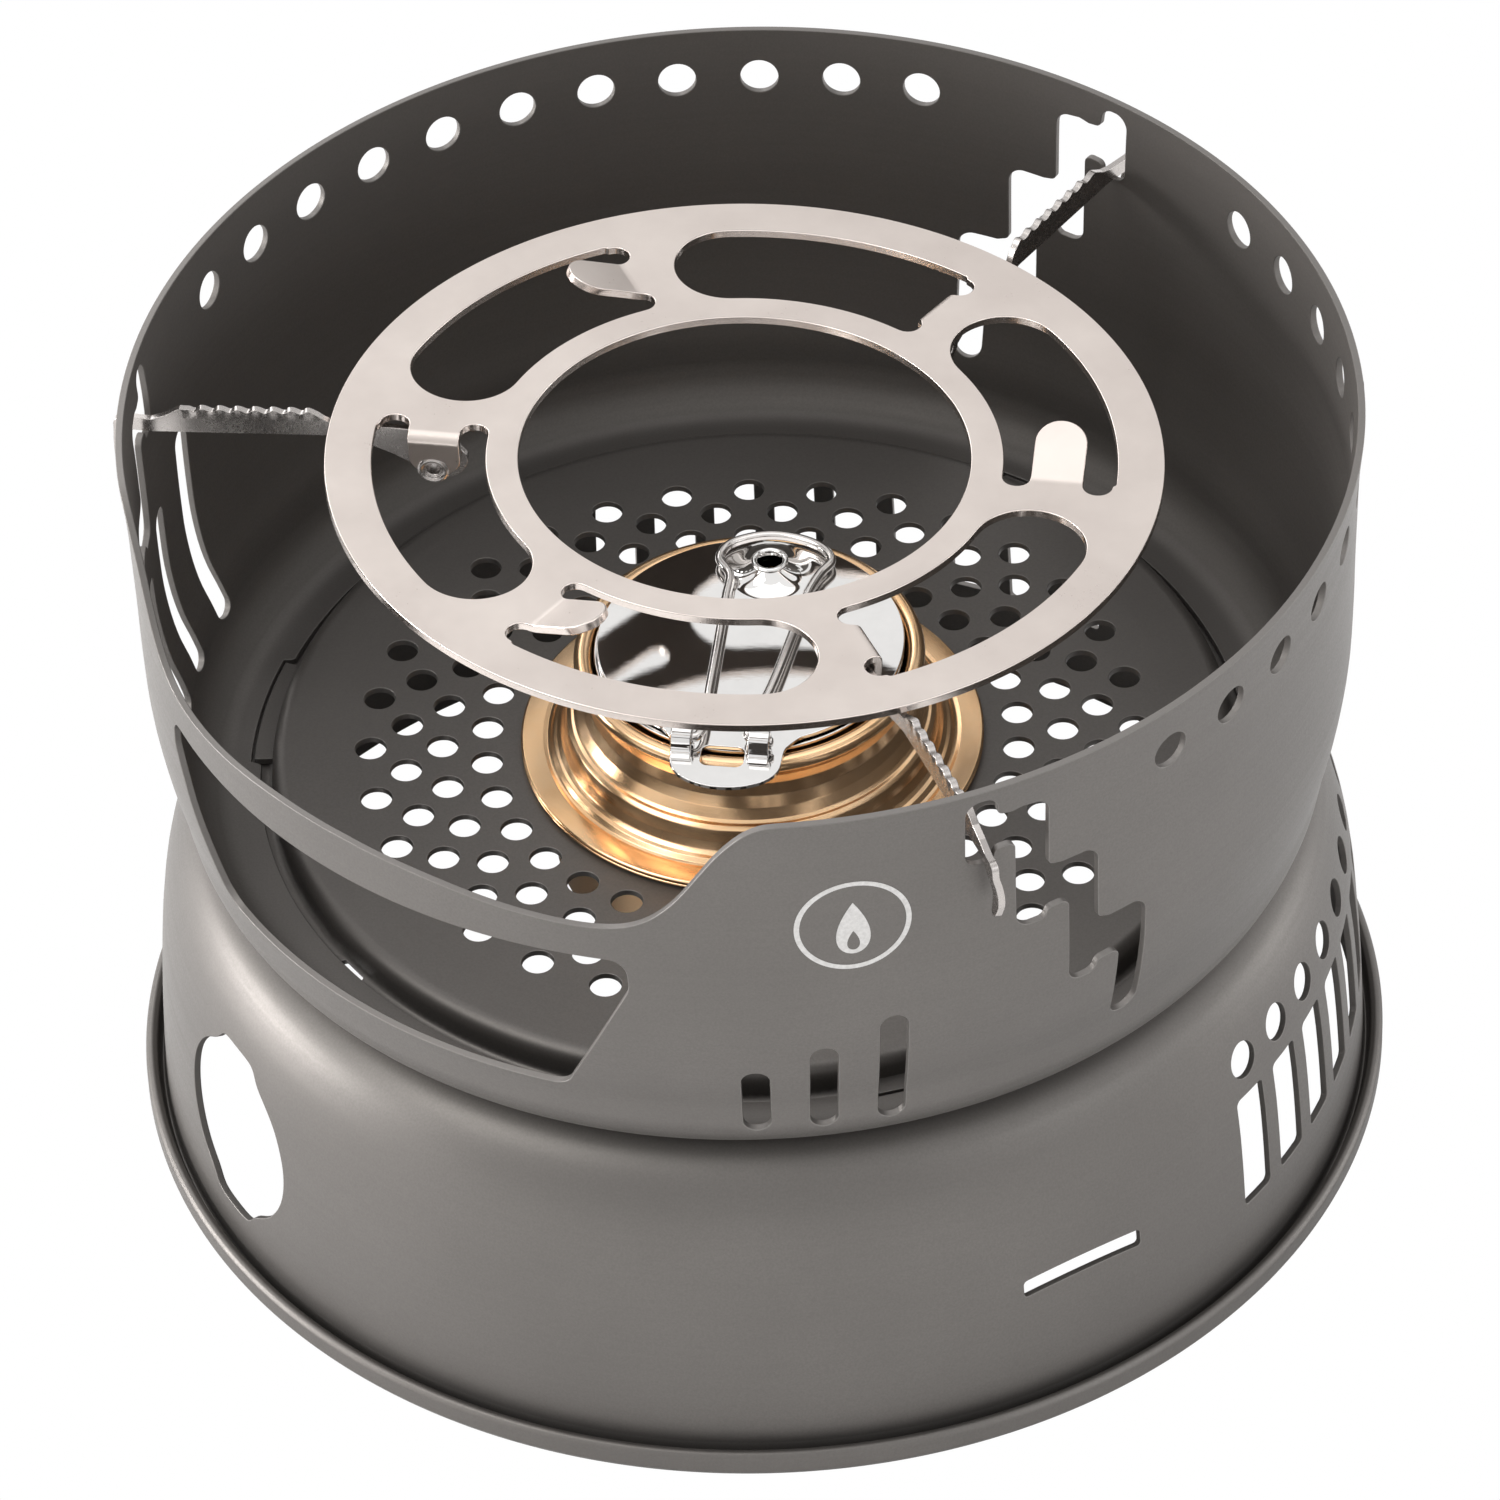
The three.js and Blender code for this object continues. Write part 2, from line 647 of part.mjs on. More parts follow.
// Ear curled round an end of the handle.
function hingeEar([start, end]) {
  const ear = extrude(circle(0, 0, HINGE.outer, 14), end - start, circle(0, 0, HINGE.inner, 12));
  ear.rotateY(Math.PI / 2);
  ear.translate(start, 0, 0);
  ear.rotateZ(HINGE.angle);
  ear.translate(HINGE.x, HINGE.y, HINGE_Z);
  return solid(ear);
}

function simmerCover() {
  const disc = slab(coverOutline(), COVER.bottom, COVER.top)
    .subtract(pin(...RIVET, RIVET_BORE, 86, 88, 20))
    .subtract(tabWindowCutter());
  return HINGE.ears.reduce((body, ear) => body.add(hingeEar(ear)), disc);
}

function simmerRivet() {
  const profile = [
    [1.9, 84.05], [3.15, 84.05], [3.15, 84.7], [2.4, 84.7], [2.4, 87.5], [2.85, 87.5],
    [2.85, 90.0], [2.7, 90.2], [2.35, 90.2], [2.2, 90.0], [2.2, 87.8], [1.9, 87.5],
  ];
  return lathe(profile, 18).translate([...RIVET, 0]);
}

// Wire centre line, [x, y, z] from one hinge ear to the other
const HANDLE_PATH = [
  [-12.9, -24.03, HINGE_Z], [HINGE.x, HINGE.y, HINGE_Z], [-9.2, -24.65, HINGE_Z],
  [-8.3, -23.5, HINGE_Z], [-6.6, -12.5, 88.9], [-4.4, 3.0, 88.7],
  [-3.4, 10.0, 88.6], [-2.7, 15.6, 88.5], [-4.1, 20.0, 88.5],
  [-2.6, 23.4, 88.4], [3.0, 25.7, 88.4], [8.2, 24.8, 88.4],
  [12.6, 21.6, 88.4], [14.1, 18.0, 88.5], [12.6, 14.6, 88.5],
  [10.0, 10.0, 88.6], [7.9, 2.3, 88.7], [3.4, -13.0, 88.9],
  [0.15, -25.2, HINGE_Z], [0.9, -26.34, HINGE_Z], [2.0, -26.52, HINGE_Z],
  [4.6, -26.96, HINGE_Z],
];

function simmerHandle() {
  const path = HANDLE_PATH.map((point) => new THREE.Vector3(...point));
  const wire = new THREE.ExtrudeGeometry(new THREE.Shape(circle(0, 0, WIRE_RADIUS, 7)), {
    steps: 52,
    bevelEnabled: false,
    extrudePath: new THREE.CatmullRomCurve3(path, false, "centripetal"),
  });
  return solid(wire);
}

// ------------------------------------------------------------------ assembly
const GREY = { color: 0x68645f, roughness: 0.55, metalness: 0.85 };
const STEEL = { color: 0xc9c3bd, roughness: 0.32, metalness: 1.0 };
const MIRROR = { color: 0xd8d8d8, roughness: 0.08, metalness: 1.0 };
const BRASS = { color: 0xc99a4a, roughness: 0.28, metalness: 1.0 };
const FIBRE = { color: 0xcfc4ae, roughness: 0.95, metalness: 0.0 };

const stove = new THREE.Group();
stove.name = "spirit_stove";

function add(name, body, look) {
  const mesh = new THREE.Mesh(toGeometry(body), new THREE.MeshStandardMaterial(look));
  mesh.name = name;
  stove.add(mesh);
}

add("base_windshield", baseWindshield(), GREY);
add("upper_windshield", upperWindshield(), GREY);
add("pot_ring", potRing(), STEEL);
ARM_DIRECTIONS.forEach((direction, i) => {
  add(`support_arm_${i + 1}`, arm(direction), STEEL);
  add(`arm_rivet_${i + 1}`, armRivet(direction), STEEL);
});
add("burner_cup", burnerCup(), BRASS);
add("burner_collar", burnerCollar(), BRASS);
add("burner_inner_wall", burnerInnerWall(), BRASS);
add("burner_wick", burnerWick(), FIBRE);
add("simmer_ring", simmerRing(), MIRROR);
add("simmer_cover", simmerCover(), MIRROR);
add("simmer_rivet", simmerRivet(), STEEL);
add("simmer_handle", simmerHandle(), STEEL);

export default stove;
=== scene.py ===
# Spirit stove: a base windshield with the burner in it, an upper windshield on its ledge, a pot
# ring with three hinged arms standing in the upper shell, and a simmer cover with a wire handle.
# The stove's axis is Z and its foot stands on z = 0. The camera looks from -Y, with +X on its
# right. Angles are in degrees from +X, anticlockwise from above. Lengths are in millimetres and
# become metres when a mesh is made; only the floor and the lights are given in metres.
import math

import bpy
import numpy as np
from mathutils import Matrix, Vector
from mathutils.geometry import delaunay_2d_cdt


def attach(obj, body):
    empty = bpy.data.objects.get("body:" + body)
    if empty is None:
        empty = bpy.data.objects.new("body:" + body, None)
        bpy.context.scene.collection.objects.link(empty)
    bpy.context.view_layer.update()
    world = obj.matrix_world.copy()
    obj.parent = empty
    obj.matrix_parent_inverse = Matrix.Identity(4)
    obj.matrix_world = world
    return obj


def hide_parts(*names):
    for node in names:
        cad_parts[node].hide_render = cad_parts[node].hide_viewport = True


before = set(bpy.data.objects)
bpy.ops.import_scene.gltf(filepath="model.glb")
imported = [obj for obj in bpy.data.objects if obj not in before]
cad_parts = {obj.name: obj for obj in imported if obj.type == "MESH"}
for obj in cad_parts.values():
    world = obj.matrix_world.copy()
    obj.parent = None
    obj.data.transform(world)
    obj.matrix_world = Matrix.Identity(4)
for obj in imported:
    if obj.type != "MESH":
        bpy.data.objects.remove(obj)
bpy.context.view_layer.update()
MM = 0.001
PI = math.pi
UP = np.array([0.0, 0.0, 1.0])
norm = np.linalg.norm

SHEET = 1.2  # thickness of both shells and of the arms
RIM_Z = 137.3  # top of the upper windshield
EARS = (48.5, 168.5, 288.5)  # directions of the base's ears and of the notches round them


def rad(degrees):
    return degrees * PI / 180.0


# ------------------------------------------------------------------ materials
class Nodes:
    """A short way to write a node material. A value may be a number, a tuple or a socket."""

    def __init__(self, name):
        self.mat = bpy.data.materials.new(name)
        self.mat.use_nodes = True
        self.tree = self.mat.node_tree
        self.tree.nodes.clear()
        self.out = self.add("OutputMaterial")
        self.bsdf = self.add("BsdfPrincipled")
        self.link(self.bsdf.outputs[0], self.out.inputs[0])
        self.place = self.add("TexCoord").outputs["Object"]

    def add(self, kind):
        return self.tree.nodes.new("ShaderNode" + kind)

    def link(self, source, target):
        self.tree.links.new(source, target)

    def feed(self, socket, value):
        if hasattr(value, "links"):
            self.link(value, socket)
        else:
            socket.default_value = (*value, 1.0) if socket.type == "RGBA" else value

    def calculate(self, kind, operation, values):
        node = self.add(kind)
        node.operation = operation
        for socket, value in zip(node.inputs, values):
            self.feed(socket, value)
        return node

    def math(self, operation, *values):
        return self.calculate("Math", operation, values).outputs[0]

    def vector(self, operation, *values):
        return self.calculate("VectorMath", operation, values)

    def weigh(self, first, second):
        """The sum of two (value, share) pairs."""
        return self.math("ADD", self.math("MULTIPLY", *first), self.math("MULTIPLY", *second))

    def mix(self, share, low, high):
        node = self.add("Mix")
        node.data_type = "RGBA"
        for i, value in ((0, share), (6, low), (7, high)):
            self.feed(node.inputs[i], value)
        return node.outputs[2]

    def remap(self, value, span=(0.3, 0.7), to=(0.0, 1.0)):
        node = self.add("MapRange")
        self.link(value, node.inputs[0])
        for i, limit in enumerate((*span, *to)):
            node.inputs[i + 1].default_value = limit
        return node.outputs[0]

    def noise(self, scale=1.0, detail=3.0, rough=0.5, at=None):
        node = self.add("TexNoise")
        self.link(at or self.place, node.inputs["Vector"])
        node.inputs["Scale"].default_value = scale
        node.inputs["Detail"].default_value = detail
        node.inputs["Roughness"].default_value = rough
        return node.outputs[0]

    def streaks(self, scale, detail, rough):
        """Noise with its own scale along x, y and z."""
        node = self.add("Mapping")
        self.link(self.place, node.inputs["Vector"])
        node.inputs["Scale"].default_value = scale
        return self.noise(detail=detail, rough=rough, at=node.outputs[0])

    def turning(self, around, across, detail, rough):
        """Noise drawn out round the axis, like the marks of turning or spinning."""
        x, y, z = self.split(self.place)
        square = self.math("ADD", self.math("MULTIPLY", x, x), self.math("MULTIPLY", y, y))
        radius = self.math("SQRT", square)
        angle = self.math("ARCTAN2", y, x)
        polar = [
            self.math("MULTIPLY", value, scale)
            for value, scale in ((angle, around), (z, across), (radius, across))
        ]
        node = self.add("CombineXYZ")
        for socket, value in zip(node.inputs, polar):
            self.link(value, socket)
        return self.noise(detail=detail, rough=rough, at=node.outputs[0])

    def split(self, vector):
        node = self.add("SeparateXYZ")
        self.link(vector, node.inputs[0])
        return node.outputs

    def bump(self, height, strength, distance, under=None):
        node = self.add("Bump")
        node.inputs["Strength"].default_value = strength
        node.inputs["Distance"].default_value = distance
        self.link(height, node.inputs["Height"])
        if under is not None:
            self.link(under, node.inputs["Normal"])
        return node.outputs[0]

    def edge(self):
        """The mesh attribute that is 1 on cut edges and 0 elsewhere."""
        node = self.add("Attribute")
        node.attribute_name = "edge"
        return node.outputs["Fac"]

    def set(self, **values):
        for name, value in values.items():
            self.feed(self.bsdf.inputs[name.replace("_", " ")], value)
        return self.mat


def anodised():
    """Hard-anodised sheet: warm grey, matt grain, faint spinning lines, edges rubbed lighter.
    Walls turned inwards are duller than the outside, and their colour is painted darker as shade."""
    look = Nodes("anodised_shell")
    grain = look.noise(scale=2600.0, detail=2.0, rough=0.6)
    cloud = look.noise(scale=22.0, detail=4.0, rough=0.55)
    spin = look.turning(around=0.6, across=900.0, detail=3.0, rough=0.6)
    # how far the face looks away from the axis, and how far it looks up
    normal = look.add("NewGeometry").outputs["Normal"]
    level = look.vector("MULTIPLY", look.place, (1, 1, 0)).outputs[0]
    away = look.vector("NORMALIZE", level).outputs[0]
    facing_out = look.vector("DOT_PRODUCT", away, normal).outputs["Value"]
    outer = look.remap(facing_out, span=(-0.15, 0.25))
    base = look.mix(look.remap(cloud), low=(0.140, 0.131, 0.124), high=(0.158, 0.148, 0.140))
    specks = look.remap(grain, span=(0.35, 0.65), to=(0.0, 0.3))
    base = look.mix(specks, low=base, high=(0.115, 0.107, 0.101))
    rubbed = look.math("MULTIPLY", look.edge(), 0.6)
    base = look.mix(rubbed, low=base, high=(0.235, 0.222, 0.212))
    rough = look.remap(look.weigh((grain, 0.6), (spin, 0.4)), to=(0.56, 0.68))
    up = look.remap(look.split(normal)[2], span=(0.90, 0.99))
    polish = look.math("MULTIPLY", look.math("MAXIMUM", outer, up), 0.15)
    rough = look.math("SUBTRACT", rough, polish)
    # painted shade: walls that face inwards and not up get a darker colour, standing in for the shade
    # inside the shell
    not_outer = look.math("SUBTRACT", 1.0, outer)
    not_up = look.math("SUBTRACT", 1.0, up)
    inner_wall = look.math("MULTIPLY", not_outer, not_up)
    painted_shade = look.math("MULTIPLY", inner_wall, 0.5)
    base = look.mix(painted_shade, low=base, high=(0.085, 0.078, 0.072))
    relief = look.weigh((grain, 0.7), (spin, 0.5))
    normal = look.bump(relief, strength=0.10, distance=0.00005)
    return look.set(Base_Color=base, Metallic=0.80, Roughness=rough, Normal=normal)


def satin_steel():
    """Rolled stainless sheet, tumbled: near white, soft, with fine scratches."""
    look = Nodes("satin_steel")
    cloud = look.noise(scale=45.0, detail=4.0, rough=0.6)
    fine = look.noise(scale=1800.0, detail=2.0, rough=0.6)
    scratches = look.streaks(scale=(260.0, 5200.0, 900.0), detail=2.0, rough=0.5)
    base = look.mix(look.remap(cloud), low=(0.66, 0.59, 0.55), high=(0.75, 0.68, 0.635))
    rough = look.remap(look.weigh((fine, 0.5), (cloud, 0.5)), to=(0.26, 0.40))
    rough = look.math("SUBTRACT", rough, look.math("MULTIPLY", look.edge(), 0.10))
    relief = look.weigh((scratches, 0.6), (fine, 0.5))
    normal = look.bump(relief, strength=0.12, distance=0.00004)
    return look.set(Base_Color=base, Metallic=1.0, Roughness=rough, Normal=normal)


def bright_steel(name, rough, tint):
    """Bright stainless: rivets, wire and arms."""
    look = Nodes(name)
    cloud = look.noise(scale=160.0, detail=3.0, rough=0.6)
    fine = look.noise(scale=3200.0, detail=2.0, rough=0.6)
    lighter = tuple(min(1.0, c * 1.12) for c in tint)
    base = look.mix(look.remap(cloud), low=tint, high=lighter)
    rough = look.remap(look.weigh((fine, 0.5), (cloud, 0.5)), to=rough)
    normal = look.bump(fine, strength=0.08, distance=0.00003)
    return look.set(Base_Color=base, Metallic=1.0, Roughness=rough, Normal=normal)


def mirror_steel():
    """Polished cover: near mirror, with hairline marks and a slight unevenness."""
    look = Nodes("mirror_steel")
    lines = look.streaks(scale=(240.0, 9000.0, 240.0), detail=2.0, rough=0.5)
    wave = look.noise(scale=38.0, detail=2.0, rough=0.4)
    smear = look.noise(scale=130.0, detail=4.0, rough=0.6)
    base = look.mix(look.remap(smear), low=(0.80, 0.79, 0.78), high=(0.86, 0.85, 0.84))
    rough = look.remap(smear, span=(0.35, 0.8), to=(0.012, 0.05))
    uneven = look.bump(wave, strength=0.05, distance=0.0004)
    normal = look.bump(lines, strength=0.05, distance=0.00002, under=uneven)
    return look.set(Base_Color=base, Metallic=1.0, Roughness=rough, Normal=normal)


def brass():
    """Drawn and turned brass: bright, with turning lines and a few darker tints."""
    look = Nodes("burner_brass")
    turn = look.turning(around=0.5, across=2600.0, detail=2.0, rough=0.5)
    cloud = look.noise(scale=70.0, detail=4.0, rough=0.6)
    fine = look.noise(scale=2600.0, detail=2.0, rough=0.6)
    base = look.mix(look.remap(cloud), low=(0.93, 0.585, 0.31), high=(0.98, 0.69, 0.43))
    rough = look.remap(look.weigh((fine, 0.4), (cloud, 0.6)), to=(0.16, 0.28))
    relief = look.math("ADD", turn, look.math("MULTIPLY", fine, 0.25))
    normal = look.bump(relief, strength=0.10, distance=0.00003)
    return look.set(Base_Color=base, Metallic=1.0, Roughness=rough, Normal=normal)


def fibre():
    """Wick packing: matt woven fibre."""
    look = Nodes("wick_fibre")
    weave = look.streaks(scale=(900.0, 900.0, 2600.0), detail=4.0, rough=0.6)
    base = look.mix(weave, low=(0.46, 0.42, 0.34), high=(0.74, 0.69, 0.59))
    normal = look.bump(weave, strength=0.9, distance=0.0006)
    return look.set(Base_Color=base, Metallic=0.0, Roughness=0.95, Normal=normal)


def print_grey():
    """Pad-printed mark on the shell."""
    look = Nodes("shell_print")
    wear = look.noise(scale=1500.0, detail=3.0, rough=0.6)
    share = look.remap(wear, span=(0.35, 0.65))
    base = look.mix(share, low=(0.50, 0.49, 0.48), high=(0.60, 0.59, 0.58))
    normal = look.bump(wear, strength=0.15, distance=0.00003)
    return look.set(Base_Color=base, Metallic=0.1, Roughness=0.5, Normal=normal)


LOOKS = {
    "shell": anodised(),
    "steel": satin_steel(),
    "arm": bright_steel("arm_steel", rough=(0.20, 0.32), tint=(0.43, 0.405, 0.39)),
    "bright": bright_steel("bright_steel", rough=(0.10, 0.20), tint=(0.70, 0.67, 0.65)),
    "mirror": mirror_steel(),
    "brass": brass(),
    "fibre": fibre(),
    "print": print_grey(),
}


# --------------------------------------------------------------- mesh helpers
class Mesh:
    """Collects patches, with a normal at each face corner, before one object is made of them."""

    def __init__(self):
        self.points, self.faces, self.normals, self.edge = [], [], [], []
        self.count = 0

    def add(self, points, faces, normals, edge=0.0):
        self.points.append(np.asarray(points, float))
        self.faces += [[i + self.count for i in face] for face in faces]
        self.normals += list(normals)
        self.edge.append(np.full(len(points), edge))
        self.count += len(points)

    def move(self, turn, to):
        self.points = [points @ turn.T + to for points in self.points]
        self.normals = [np.asarray(corners) @ turn.T for corners in self.normals]

    def object(self, name, look, body, replaces=None):
        data = bpy.data.meshes.new(name)
        data.from_pydata((np.concatenate(self.points) * MM).tolist(), [], self.faces)
        data.polygons.foreach_set("use_smooth", [True] * len(data.polygons))
        data.update()
        data.normals_split_custom_set([tuple(n) for corners in self.normals for n in corners])
        edge = data.attributes.new("edge", "FLOAT", "POINT")
        edge.data.foreach_set("value", np.concatenate(self.edge).astype(np.float32))
        data.materials.append(LOOKS[look])
        piece = bpy.data.objects.new(name, data)
        bpy.context.scene.collection.objects.link(piece)
        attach(piece, body)
        if replaces:
            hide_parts(replaces)


def unit(rows):
    """Each row scaled to length one."""
    return rows / np.maximum(norm(rows, axis=1), 1e-9)[:, None]


def facing(points, face, normals):
    """The face and its corner normals, in the order that makes it face along them."""
    a, b, c = (points[i] for i in face[:3])
    if np.cross(b - a, c - a) @ sum(normals[:3]) < 0:
        return face[::-1], normals[::-1]
    return face, normals


# ------------------------------------------------------------------- outlines
def blocks_near(outline, points, margin):
    """Indexes of the points in the outline's box, in blocks that keep the arrays small."""
    low, high = outline.min(0) - margin, outline.max(0) + margin
    near = np.nonzero(((points >= low) & (points <= high)).all(1))[0]
    return [near[i : i + 1000] for i in range(0, len(near), 1000)]


def inside(outline, points):
    """Which points lie inside a closed outline."""
    found = np.zeros(len(points), bool)
    after = np.roll(outline, -1, 0)
    x0, y0, x1, y1 = outline[None, :, 0], outline[None, :, 1], after[None, :, 0], after[None, :, 1]
    for block in blocks_near(outline, points, 0.0):
        p = points[block][:, None, :]
        crosses = (y0 > p[:, :, 1]) != (y1 > p[:, :, 1])
        with np.errstate(divide="ignore", invalid="ignore"):
            x = x0 + (p[:, :, 1] - y0) * (x1 - x0) / (y1 - y0)
        found[block] = (np.sum(crosses & (p[:, :, 0] < x), 1) % 2) == 1
    return found


def near_outline(outline, points, distance):
    """Which points lie closer to an outline than a distance."""
    found = np.zeros(len(points), bool)
    side = np.roll(outline, -1, 0) - outline
    square = np.maximum((side**2).sum(1), 1e-12)
    for block in blocks_near(outline, points, distance):
        offsets = points[block][:, None, :] - outline[None]
        t = np.clip((offsets * side[None]).sum(2) / square[None], 0, 1)
        gap = offsets - t[:, :, None] * side[None]
        found[block] = np.sqrt((gap**2).sum(2)).min(1) < distance
    return found


def covered(outlines, points):
    """Which points lie inside the first outline and outside the others."""
    keep = inside(outlines[0], points)
    for hole in outlines[1:]:
        keep &= ~inside(hole, points)
    return keep


def area(outline):
    """Area of an outline, negative if it runs clockwise."""
    after = np.roll(outline, -1, 0)
    return 0.5 * np.sum(outline[:, 0] * after[:, 1] - after[:, 0] * outline[:, 1])


def full_turn(count):
    return np.linspace(0, 2 * PI, count, endpoint=False)


def circle(x, y, radius, count):
    t = full_turn(count)
    return np.stack([x + radius * np.cos(t), y + radius * np.sin(t)], 1)


def arc(x, y, radius, start, end, count):
    """Points of an arc between two angles, both ends included."""
    t = np.linspace(rad(start), rad(end), count)
    return np.stack([x + radius * np.cos(t), y + radius * np.sin(t)], 1)


def rounded(corners, step):
    """A polygon whose corners (x, y, radius) become arcs, sampled about every step.
    A corner without a radius stays sharp."""
    places = np.array([[x, y] for x, y, *_ in corners], float)
    out = []
    for i, corner in enumerate(corners):
        radius = corner[2] if len(corner) > 2 else 0.0
        p = places[i]
        back, ahead = places[i - 1] - p, places[(i + 1) % len(places)] - p
        back_length, ahead_length = norm(back), norm(ahead)
        back, ahead = back / back_length, ahead / ahead_length
        half = math.acos(max(-1, min(1, float(back @ ahead)))) / 2
        if radius <= 1e-6 or half > PI / 2 - 0.02:
            out.append(p)
            continue
        cut = min(radius / math.tan(half), back_length * 0.498, ahead_length * 0.498)
        radius = cut * math.tan(half)
        centre = p + (back + ahead) / norm(back + ahead) * (radius / math.sin(half))
        first, last = p + back * cut - centre, p + ahead * cut - centre
        start = math.atan2(first[1], first[0])
        sweep_angle = (math.atan2(last[1], last[0]) - start + PI) % (2 * PI) - PI
        count = max(3, int(abs(sweep_angle) * radius / step) + 1)
        for j in range(count + 1):
            t = start + sweep_angle * j / count
            out.append(centre + radius * np.array([math.cos(t), math.sin(t)]))
    return np.array(out)


def box(half_width, low, high, radius, step):
    """A rounded rectangle centred on x = 0."""
    w = half_width
    return rounded([(-w, low, radius), (w, low, radius), (w, high, radius), (-w, high, radius)], step)


def dense(outline, step):
    """An outline with no side longer than step."""
    out = []
    for p, q in zip(outline, np.roll(outline, -1, 0)):
        count = max(1, int(math.ceil(norm(q - p) / step)))
        out += [p + (q - p) * j / count for j in range(count)]
    return np.array(out)


def tidy(outline, gap=1e-3):
    """Drops repeated points of an outline."""
    out = [outline[0]]
    for p in outline[1:]:
        if norm(p - out[-1]) > gap:
            out.append(p)
    if len(out) > 1 and norm(out[0] - out[-1]) <= gap:
        out.pop()
    return np.array(out)


def soften(outline, times):
    for _ in range(times):
        outline = 0.25 * np.roll(outline, 1, 0) + 0.5 * outline + 0.25 * np.roll(outline, -1, 0)
    return outline


def offset(outline, distance, stretch):
    """The outline moved to its left; stretch is the true length of a unit of x and y there."""
    before = unit((outline - np.roll(outline, 1, 0)) * stretch)
    after = unit((np.roll(outline, -1, 0) - outline) * stretch)
    left = np.stack([-before[:, 1], before[:, 0]], 1)
    way = unit(left + np.stack([-after[:, 1], after[:, 0]], 1))
    miter = np.clip(1 / np.maximum((way * left).sum(1), 1e-6), 1, 1.6)
    return outline + way * (miter * distance)[:, None] / stretch


def along(direction, points):
    """Points (distance out along a direction, distance to its left) as (x, y)."""
    c, s = math.cos(rad(direction)), math.sin(rad(direction))
    out, left = np.asarray(points, float).T
    return np.stack([out * c - left * s, out * s + left * c], 1)


def spline(points, per):
    """A centripetal Catmull-Rom line through points, with per steps between each two."""
    points = np.array(points, float)

    def between(t, start, end, a, b):
        return (end - t) / (end - start) * a + (t - start) / (end - start) * b

    padded = [2 * points[0] - points[1], *points, 2 * points[-1] - points[-2]]
    out = []
    for i in range(len(points) - 1):
        p = padded[i : i + 4]
        k = [0.0]
        for a, b in zip(p, p[1:]):
            k.append(k[-1] + max(norm(b - a), 1e-9) ** 0.5)
        for t in np.linspace(k[1], k[2], per, endpoint=False):
            a = [between(t, k[j], k[j + 1], p[j], p[j + 1]) for j in range(3)]
            b = [between(t, k[j], k[j + 2], a[j], a[j + 1]) for j in range(2)]
            out.append(between(t, k[1], k[2], b[0], b[1]))
    out.append(points[-1])
    return np.array(out)


# ----------------------------------------------------- surfaces a sheet lies on
class Profile:
    """A smooth line through (radius, height) stations, with its length and left-hand normal."""

    STEP = 0.25

    def __init__(self, stations):
        stations = np.array(stations, float)
        last = len(stations) - 1
        line = []
        for i in range(last):
            before, start, end, after = stations[[max(i - 1, 0), i, i + 1, min(i + 2, last)]]
            pairs = ((before, start), (start, end), (end, after))
            k0, k1, k2 = [max(norm(b - a), 1e-6) ** 0.5 for a, b in pairs]
            leave = arrive = chord = end - start
            if i > 0:
                leave = chord + k1 * ((start - before) / k0 - (end - before) / (k0 + k1))
            if i < last - 1:
                arrive = chord + k1 * ((after - end) / k2 - (after - start) / (k1 + k2))
            count = max(2, int(norm(chord) / self.STEP))
            for j in range(count):
                t = j / count
                ends = (2 * t**3 - 3 * t**2 + 1) * start + (t**3 - 2 * t**2 + t) * leave
                line.append(ends + (-2 * t**3 + 3 * t**2) * end + (t**3 - t**2) * arrive)
        line.append(stations[-1])
        self.line = np.array(line)
        self.length = np.concatenate([[0], np.cumsum(norm(np.diff(self.line, axis=0), axis=1))])
        self.end = float(self.length[-1])
        tangent = unit(np.gradient(self.line, axis=0))
        self.normal = np.stack([-tangent[:, 1], tangent[:, 0]], 1)

    def at(self, length):
        """Radius, height and the normal's two parts at each length."""
        columns = (*self.line.T, *self.normal.T)
        r, z, nr, nz = (np.interp(length, self.length, column) for column in columns)
        size = np.sqrt(nr**2 + nz**2)
        return r, z, nr / size, nz / size

    def nearest(self, radius, height):
        """Length at the point of the line nearest to a place."""
        return float(self.length[np.argmin(norm(self.line - np.array([radius, height]), axis=1))])

    def length_at(self, z, start):
        """Length where the line passes height z, looking only beyond the length start."""
        part = self.length >= start
        heights, lengths = self.line[part, 1], self.length[part]
        if heights[0] > heights[-1]:
            heights, lengths = heights[::-1], lengths[::-1]
        return np.interp(z, heights, lengths)


def spun(r, angle, z):
    return np.stack([r * np.cos(angle), r * np.sin(angle), z], 1)


class Turned:
    """A surface turned about Z, whose own coordinates are (angle in radians, profile length).
    It is triangulated in a flat disc whose radius is the length plus a shift."""

    side = -1.0  # the disc turns left and right over

    def __init__(self, at, shift):
        self.at = at
        self.shift = shift

    def front(self, spots):
        """Place and normal of each spot on the front face."""
        r, z, nr, nz = self.at(spots[:, 1])
        return spun(r, spots[:, 0], z), spun(nr, spots[:, 0], nz)

    def plane(self, spots):
        rho = spots[:, 1] + self.shift
        return np.stack([rho * np.cos(spots[:, 0]), rho * np.sin(spots[:, 0])], 1)

    def stretch(self, spots):
        return np.stack([self.at(spots[:, 1])[0], np.ones(len(spots))], 1)


class Flat:
    """A surface drawn flat, with a function for the place and normal of each spot."""

    side = 1.0
    stretch = staticmethod(np.ones_like)

    def __init__(self, front):
        self.front = front

    def plane(self, spots):
        return spots


def level(z):
    def front(spots):
        return np.column_stack([spots, np.full(len(spots), z)]), np.tile(UP, (len(spots), 1))

    return Flat(front)


def row(angles, length):
    return np.stack([angles, np.full(len(angles), length)], 1)


def grid_rows(lengths, stagger=0.5):
    """Rows of 300 grid points round a turned surface, every second row shifted by stagger."""
    count = 300
    rows = []
    for i, length in enumerate(lengths):
        rows.append(row((np.arange(count) + stagger * (i % 2)) * 2 * PI / count, length))
    return np.concatenate(rows)


